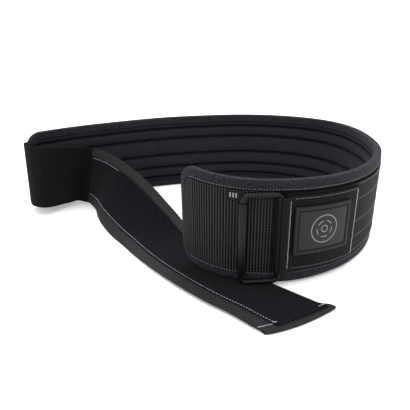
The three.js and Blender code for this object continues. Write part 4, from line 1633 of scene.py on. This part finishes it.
@dataclass
class Strap:
    """The elastic panel, the strap with its folded hem, and the loop tape on it."""

    shop: Workshop
    run: Ribbon
    elastic_thickness: float = 1.8
    thickness: float = 1.3
    hem_length: float = 18.0
    hem_opening: float = 0.3
    tape_thickness: float = 1.2
    near_border: float = 13.5
    far_border: float = 6.5
    gap: float = 0.35
    rib_pitch: float = 2.4
    slant: float = 5.0
    slant_from: float = 150.0
    slant_run: float = 110.0
    hem_bow: float = 4.6
    bow_run: float = 15.0
    # How far the far row of stitches keeps its painted highlight before it turns to painted shade.
    lit_run: float = 48.0
    rolled_border: float = 7.0
    seam: Seam = Seam(2.0, 1.1, 0.66, 0.32)
    bar_seam: Seam = Seam(1.9, 0.1, 0.7, 0.34)

    def ribbon(
        self,
        name: str,
        index: np.ndarray,
        outline: np.ndarray,
        relief: Callable[[np.ndarray, np.ndarray], np.ndarray] | None = None,
        tail: np.ndarray | None = None,
        bowed: np.ndarray | None = None,
        slanted: bool = False,
    ) -> bpy.types.Object:
        """A closed band on the strap's run.

        Args:
            name: the object's name.
            index: frame numbers of its sections.
            outline: its outline as pairs of distance across and level.
            relief: what its upper side stands proud, by travel and distance across.
            tail: more sections after the run, by section and outline point.
            bowed: how far each outline point is drawn forward at the run's end.
            slanted: whether its far edge slants as the tape's does.

        Returns:
            The band.
        """
        travel = np.interp(index, np.arange(len(self.run.travel)), self.run.travel)
        across = np.broadcast_to(outline[:, 0], (len(index), len(outline)))
        level = np.broadcast_to(outline[:, 1], across.shape).copy()
        if relief is not None:
            face = outline[:, 1] >= outline[:, 1].max() - 1e-6
            level[:, face] += relief(travel[:, None], across[:, face])
        places = np.stack([np.broadcast_to(travel[:, None], across.shape), across], -1)
        places = self.narrowed(self.slanted(places) if slanted else places)
        sections = self.run.points(index[:, None], places[..., 1], level)
        if bowed is not None:
            late = smoothstep(1 - (travel[-1] - travel) / self.bow_run)
            sections = sections + bowed * late[:, None, None]
        if tail is not None:
            sections = np.concatenate([sections, tail], 0)
            travel = np.concatenate([travel, travel[-1] + np.arange(1, len(tail) + 1)])
            across = np.broadcast_to(outline[:, 0], (len(travel), len(outline)))
        return self.shop.loft(name, sections, closed_uv(travel, across))

    def build_elastic(self) -> bpy.types.Object:
        """Builds the elastic panel, which is sewn on the band and folded round the wall's end.

        Returns:
            The panel.
        """

        def relief(travel: np.ndarray, across: np.ndarray) -> np.ndarray:
            """Returns ribs across the panel."""
            ribs = np.abs(np.sin(travel * math.pi / self.rib_pitch)) ** 0.7 - 1
            return 0.3 * ribs + 0.04 * soft_noise(travel, across, 14, 41)

        length = self.run.travel[self.run.seam]
        index = self.run.index_at(np.arange(0, length, 0.4))
        outline = rounded_slab(0, self.elastic_thickness, 0, self.run.width, 1.6, 0.6)
        made = self.ribbon("elastic_webbing", np.append(index, self.run.seam), outline, relief)
        made.data.materials.append(ELASTIC_FINISH.make())
        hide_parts("elastic_panel")
        log.info("elastic is %.1f mm long", length)
        return made

    def build_strap(self) -> bpy.types.Object:
        """Builds the strap's own webbing with its folded hem.

        Returns:
            The strap.
        """
        start = self.run.travel[self.run.seam] + self.gap
        end = self.run.travel[-1]
        index = self.run.index_at(np.linspace(start, end, int((end - start) / 1.4)))
        outline = rounded_slab(0, self.thickness, 0, self.run.width, 1.5, 0.55)
        foot, side = self.run.foot[-1], self.run.across[-1]
        up = np.array([0.0, 0.0, 1.0])
        ahead = unit(np.cross(side, up))
        bowed = ahead * self.bow(outline[:, :1])
        tail = []
        radius = self.hem_opening / 2
        for degrees in range(15, 181, 15):
            turn = math.radians(degrees)
            base = foot + ahead * math.sin(turn) * radius + up * (math.cos(turn) - 1) * radius
            over = up * math.cos(turn) + ahead * math.sin(turn)
            tail.append(base + side * outline[:, :1] + over * outline[:, 1:] + bowed)
        for reach in np.linspace(0, self.hem_length, 10)[1:]:
            inset = 1.4 * smoothstep(np.array(reach / 6)) * (1 - outline[:, 0] / self.run.width)
            places = np.stack([np.full(len(outline), end - reach), outline[:, 0] + inset], 1)
            spot = self.run.index_at(np.array(end - reach))
            under = self.run.points(spot, self.narrowed(places)[:, 1], -self.hem_opening - outline[:, 1])
            under = under + bowed * float(smoothstep(np.array(1 - reach / self.bow_run)))
            under[:, 2] = np.maximum(under[:, 2], 0.02 * np.arange(len(under)) / len(under))
            tail.append(under)
        made = self.ribbon("strap_webbing", index, outline, None, np.array(tail), bowed)
        made.data.materials.append(STRAP_FINISH.make())
        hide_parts("fastening_strap")
        log.info("strap is %.1f mm long", end - start)
        return made

    def bow(self, across: np.ndarray) -> np.ndarray:
        """Returns how far the free end's edge is drawn forward, by the distance across."""
        share = np.clip(across / self.run.width, 0, 1)
        return self.hem_bow * np.sin(math.pi * share**0.85) ** 0.8 + 1.5 * share

    def build_tape(self) -> bpy.types.Object:
        """Builds the loop tape on the strap.

        Returns:
            The tape.
        """

        def relief(travel: np.ndarray, across: np.ndarray) -> np.ndarray:
            """Returns the uneven nap."""
            return 0.12 * soft_noise(travel, across, 3.1, 51) + 0.1 * soft_noise(travel, across, 17, 52)

        start = self.run.travel[self.run.seam] + self.gap
        end = self.run.travel[-1] - 1.6
        index = self.run.index_at(np.linspace(start, end, int((end - start) / 1.1)))
        low = self.thickness + self.gap
        far = self.run.width - self.far_border
        outline = rounded_slab(low, low + self.tape_thickness, self.near_border, far, 1.1, 0.5)
        ahead = unit(np.cross(self.run.across[-1], np.array([0.0, 0.0, 1.0])))
        bowed = ahead * 0.55 * self.bow(outline[:, :1])
        made = self.ribbon("tape_loops", index, outline, relief, None, bowed, True)
        made.data.materials.append(LOOP_FINISH.make())
        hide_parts("loop_tape")
        return made

    def build_threads(self) -> list[bpy.types.Object]:
        """Sews the tape along both edges and tacks the corners of the hem.

        Returns:
            The rows and the tacks.
        """
        start = self.run.travel[self.run.seam] + 6
        end = self.run.travel[-1]
        low = self.thickness
        level = low + self.gap + self.tape_thickness
        paths = []
        near, far = self.near_border + 0.9, self.run.width - self.far_border - 1.2
        # The near row and the first stretch of the far row take the thread with a painted highlight; the far
        # row past that stretch takes it in painted shade.
        turned = start + self.lit_run
        for across, first, last in ((near, start, end - 5), (far, start, turned), (far, turned + 3, end - 5)):
            places = resample(np.array([(first, across, level), (last, across, level)]), 3.0)
            paths.append(strap_path(self.run, self.narrowed(self.slanted(places))))
        bars = []
        for inner, outer, first, last, height in (
            (0.8, self.near_border, -7.5, -4.5, low + 0.1),
            (self.near_border, self.near_border + 3.4, -4.5, -3.5, level + 0.2),
            (self.run.width - 14.5, self.run.width - 5.5, -3.2, -3.2, level + 0.25),
        ):
            share = np.arange(0, 1, 0.9 / (outer - inner))
            swing = np.where(np.arange(len(share)) % 2 == 0, -0.9, 0.9)
            travel = end + first + (last - first) * share + swing
            places = np.stack([travel, inner + (outer - inner) * share, np.full_like(share, height)], 1)
            bars.append(strap_path(self.run, self.narrowed(places), fine=0.2))
        made = []
        for name, lines, seam, finish in (
            ("strap_thread", paths[:2], self.seam, LIT_THREAD_FINISH),
            ("far_strap_thread", paths[2:], self.seam, SHADED_THREAD_FINISH),
            ("strap_bar_thread", bars, self.bar_seam, LIT_THREAD_FINISH),
        ):
            sewn = self.shop.thread(name, lines, seam)
            sewn.data.materials.append(finish.make())
            made.append(sewn)
        return made

    def slanted(self, places: np.ndarray) -> np.ndarray:
        """Places on the tape, whose far edge starts further in and slants outwards.

        Args:
            places: rows of the distance along the middle line, and across from the near edge.

        Returns:
            The same rows, with the distance across made less where the tape is narrower.
        """
        start = self.run.travel[self.run.seam]
        early = 1 - smoothstep((places[..., 0] - start - self.slant_from) / self.slant_run)
        made = np.array(places, float)
        made[..., 1] -= self.slant * early * smoothstep((places[..., 1] / self.run.width - 0.4) / 0.4)
        return made

    def narrowed(self, places: np.ndarray) -> np.ndarray:
        """Places on the strap, drawn in where its far border is rolled under near the free end.

        Args:
            places: rows of the distance along the middle line, across from the near edge and up.

        Returns:
            The same rows, with the distance across made less there.
        """
        to_end = self.run.travel[-1] - places[..., 0]
        rolled = smoothstep((95 - to_end) / 50) * smoothstep((to_end - 3) / 9)
        drawn = smoothstep((places[..., 1] - 0.6 * self.run.width) / (0.3 * self.run.width))
        border = np.clip((places[..., 1] - self.run.width + self.far_border) / self.far_border, 0, 1)
        made = np.array(places, float)
        made[..., 1] -= rolled * (1.6 * drawn + (self.rolled_border - 1.6) * border)
        return made

    def build(self) -> list[bpy.types.Object]:
        """Returns the strap's pieces."""
        return [self.build_elastic(), self.build_strap(), self.build_tape(), *self.build_threads()]


@dataclass
class Studio:
    """The floor, the lights and the camera."""

    origin: np.ndarray
    focal_px: float = 507.0
    pitch: float = 21.22
    camera_height: float = 244.8
    start: tuple[float, float] = (-19.6, 466.7)
    picture: int = 410
    sensor: float = 36.0

    def build_camera(self) -> bpy.types.Object:
        """Places the camera at the photograph's viewing angle.

        Returns:
            The camera.
        """
        data = bpy.data.cameras.new("camera")
        data.sensor_width = self.sensor
        data.lens = self.focal_px * self.sensor / self.picture
        data.clip_start, data.clip_end = 0.01, 30
        camera = bpy.data.objects.new("camera", data)
        x = self.origin[0] - self.start[0]
        y = self.origin[1] - self.start[1]
        camera.location = Vector((x, y, self.origin[2] + self.camera_height)) * MM
        camera.rotation_euler = (math.radians(90 - self.pitch), 0, 0)
        bpy.context.scene.collection.objects.link(camera)
        bpy.context.scene.camera = camera
        return camera

    def build_floor(self) -> bpy.types.Object:
        """Lays a plain pale floor.

        Returns:
            The floor.
        """
        bm = bmesh.new()
        bmesh.ops.create_grid(bm, x_segments=1, y_segments=1, size=6.0)
        mesh = bpy.data.meshes.new("floor")
        bm.to_mesh(mesh)
        bm.free()
        floor = bpy.data.objects.new("floor", mesh)
        bpy.context.scene.collection.objects.link(floor)
        floor.data.materials.append(FLOOR_FINISH.make())
        return floor

    def build_lights(self) -> None:
        """Hangs soft boxes over and behind the belt, and lights the room evenly."""
        for name, place, size, power, aim in (
            ("top_box", (0.1, 0.1, 1.5), 1.8, 22.0, (0, 0, 0)),
            ("front_box", (-0.7, -1.5, 1.0), 1.0, 6.0, (0, -0.05, 0.04)),
            ("back_box", (0.5, 1.5, 1.1), 1.2, 8.0, (0, 0, 0.05)),
            ("right_box", (1.6, -0.5, 0.9), 0.9, 2.5, (0, 0, 0.05)),
        ):
            light = bpy.data.lights.new(name, "AREA")
            light.shape = "SQUARE"
            light.size = size
            light.energy = power
            lamp = bpy.data.objects.new(name, light)
            lamp.location = place
            lamp.rotation_mode = "QUATERNION"
            lamp.rotation_quaternion = (Vector(aim) - Vector(place)).to_track_quat("-Z", "Y")
            bpy.context.scene.collection.objects.link(lamp)
        world = bpy.data.worlds.new("studio")
        world.use_nodes = True
        background = world.node_tree.nodes["Background"]
        background.inputs["Color"].default_value = linear("#ffffff")
        background.inputs["Strength"].default_value = 1.32
        bpy.context.scene.world = world
        bpy.context.scene.view_settings.view_transform = "Standard"

    def build(self) -> None:
        """Sets up the camera, the floor and the lights."""
        self.build_camera()
        self.build_floor()
        self.build_lights()


def box_centre(node: str) -> Vector:
    """Returns the centre of a node of the frame, in metres."""
    low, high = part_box(node)
    return (low + high) / 2


def main() -> None:
    """Builds the belt and the studio."""
    logging.basicConfig(level=logging.INFO, format="%(name)s: %(message)s", stream=sys.stdout)
    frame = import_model()
    joint = {j["name"]: Vector(j["pos_m"]) for j in frame["joints"]}
    bar, roller = joint["ring_swing"], box_centre("buckle_roller")
    bar.z = roller.z
    wall = Wall()
    spot = wall.points(BAR_ALONG, 0.0, BAR_OUT)
    origin = np.array([bar.x / MM - spot[0], bar.y / MM - spot[1], FLOOR_GAP])
    log.info("origin %s", origin)
    shop = Workshop(origin)
    parts = PaddedWall(shop, wall).build()
    parts += Webbing(shop, wall).build()
    parts += Badge(shop, wall).build()
    parts += Buckle(bar, roller).build(shop)
    parts += Strap(shop, Ribbon(wall)).build()
    for part in parts:
        log.info("%s has %d faces", part.name, len(part.data.polygons))
    Studio(origin).build()


if __name__ == "__main__":
    main()
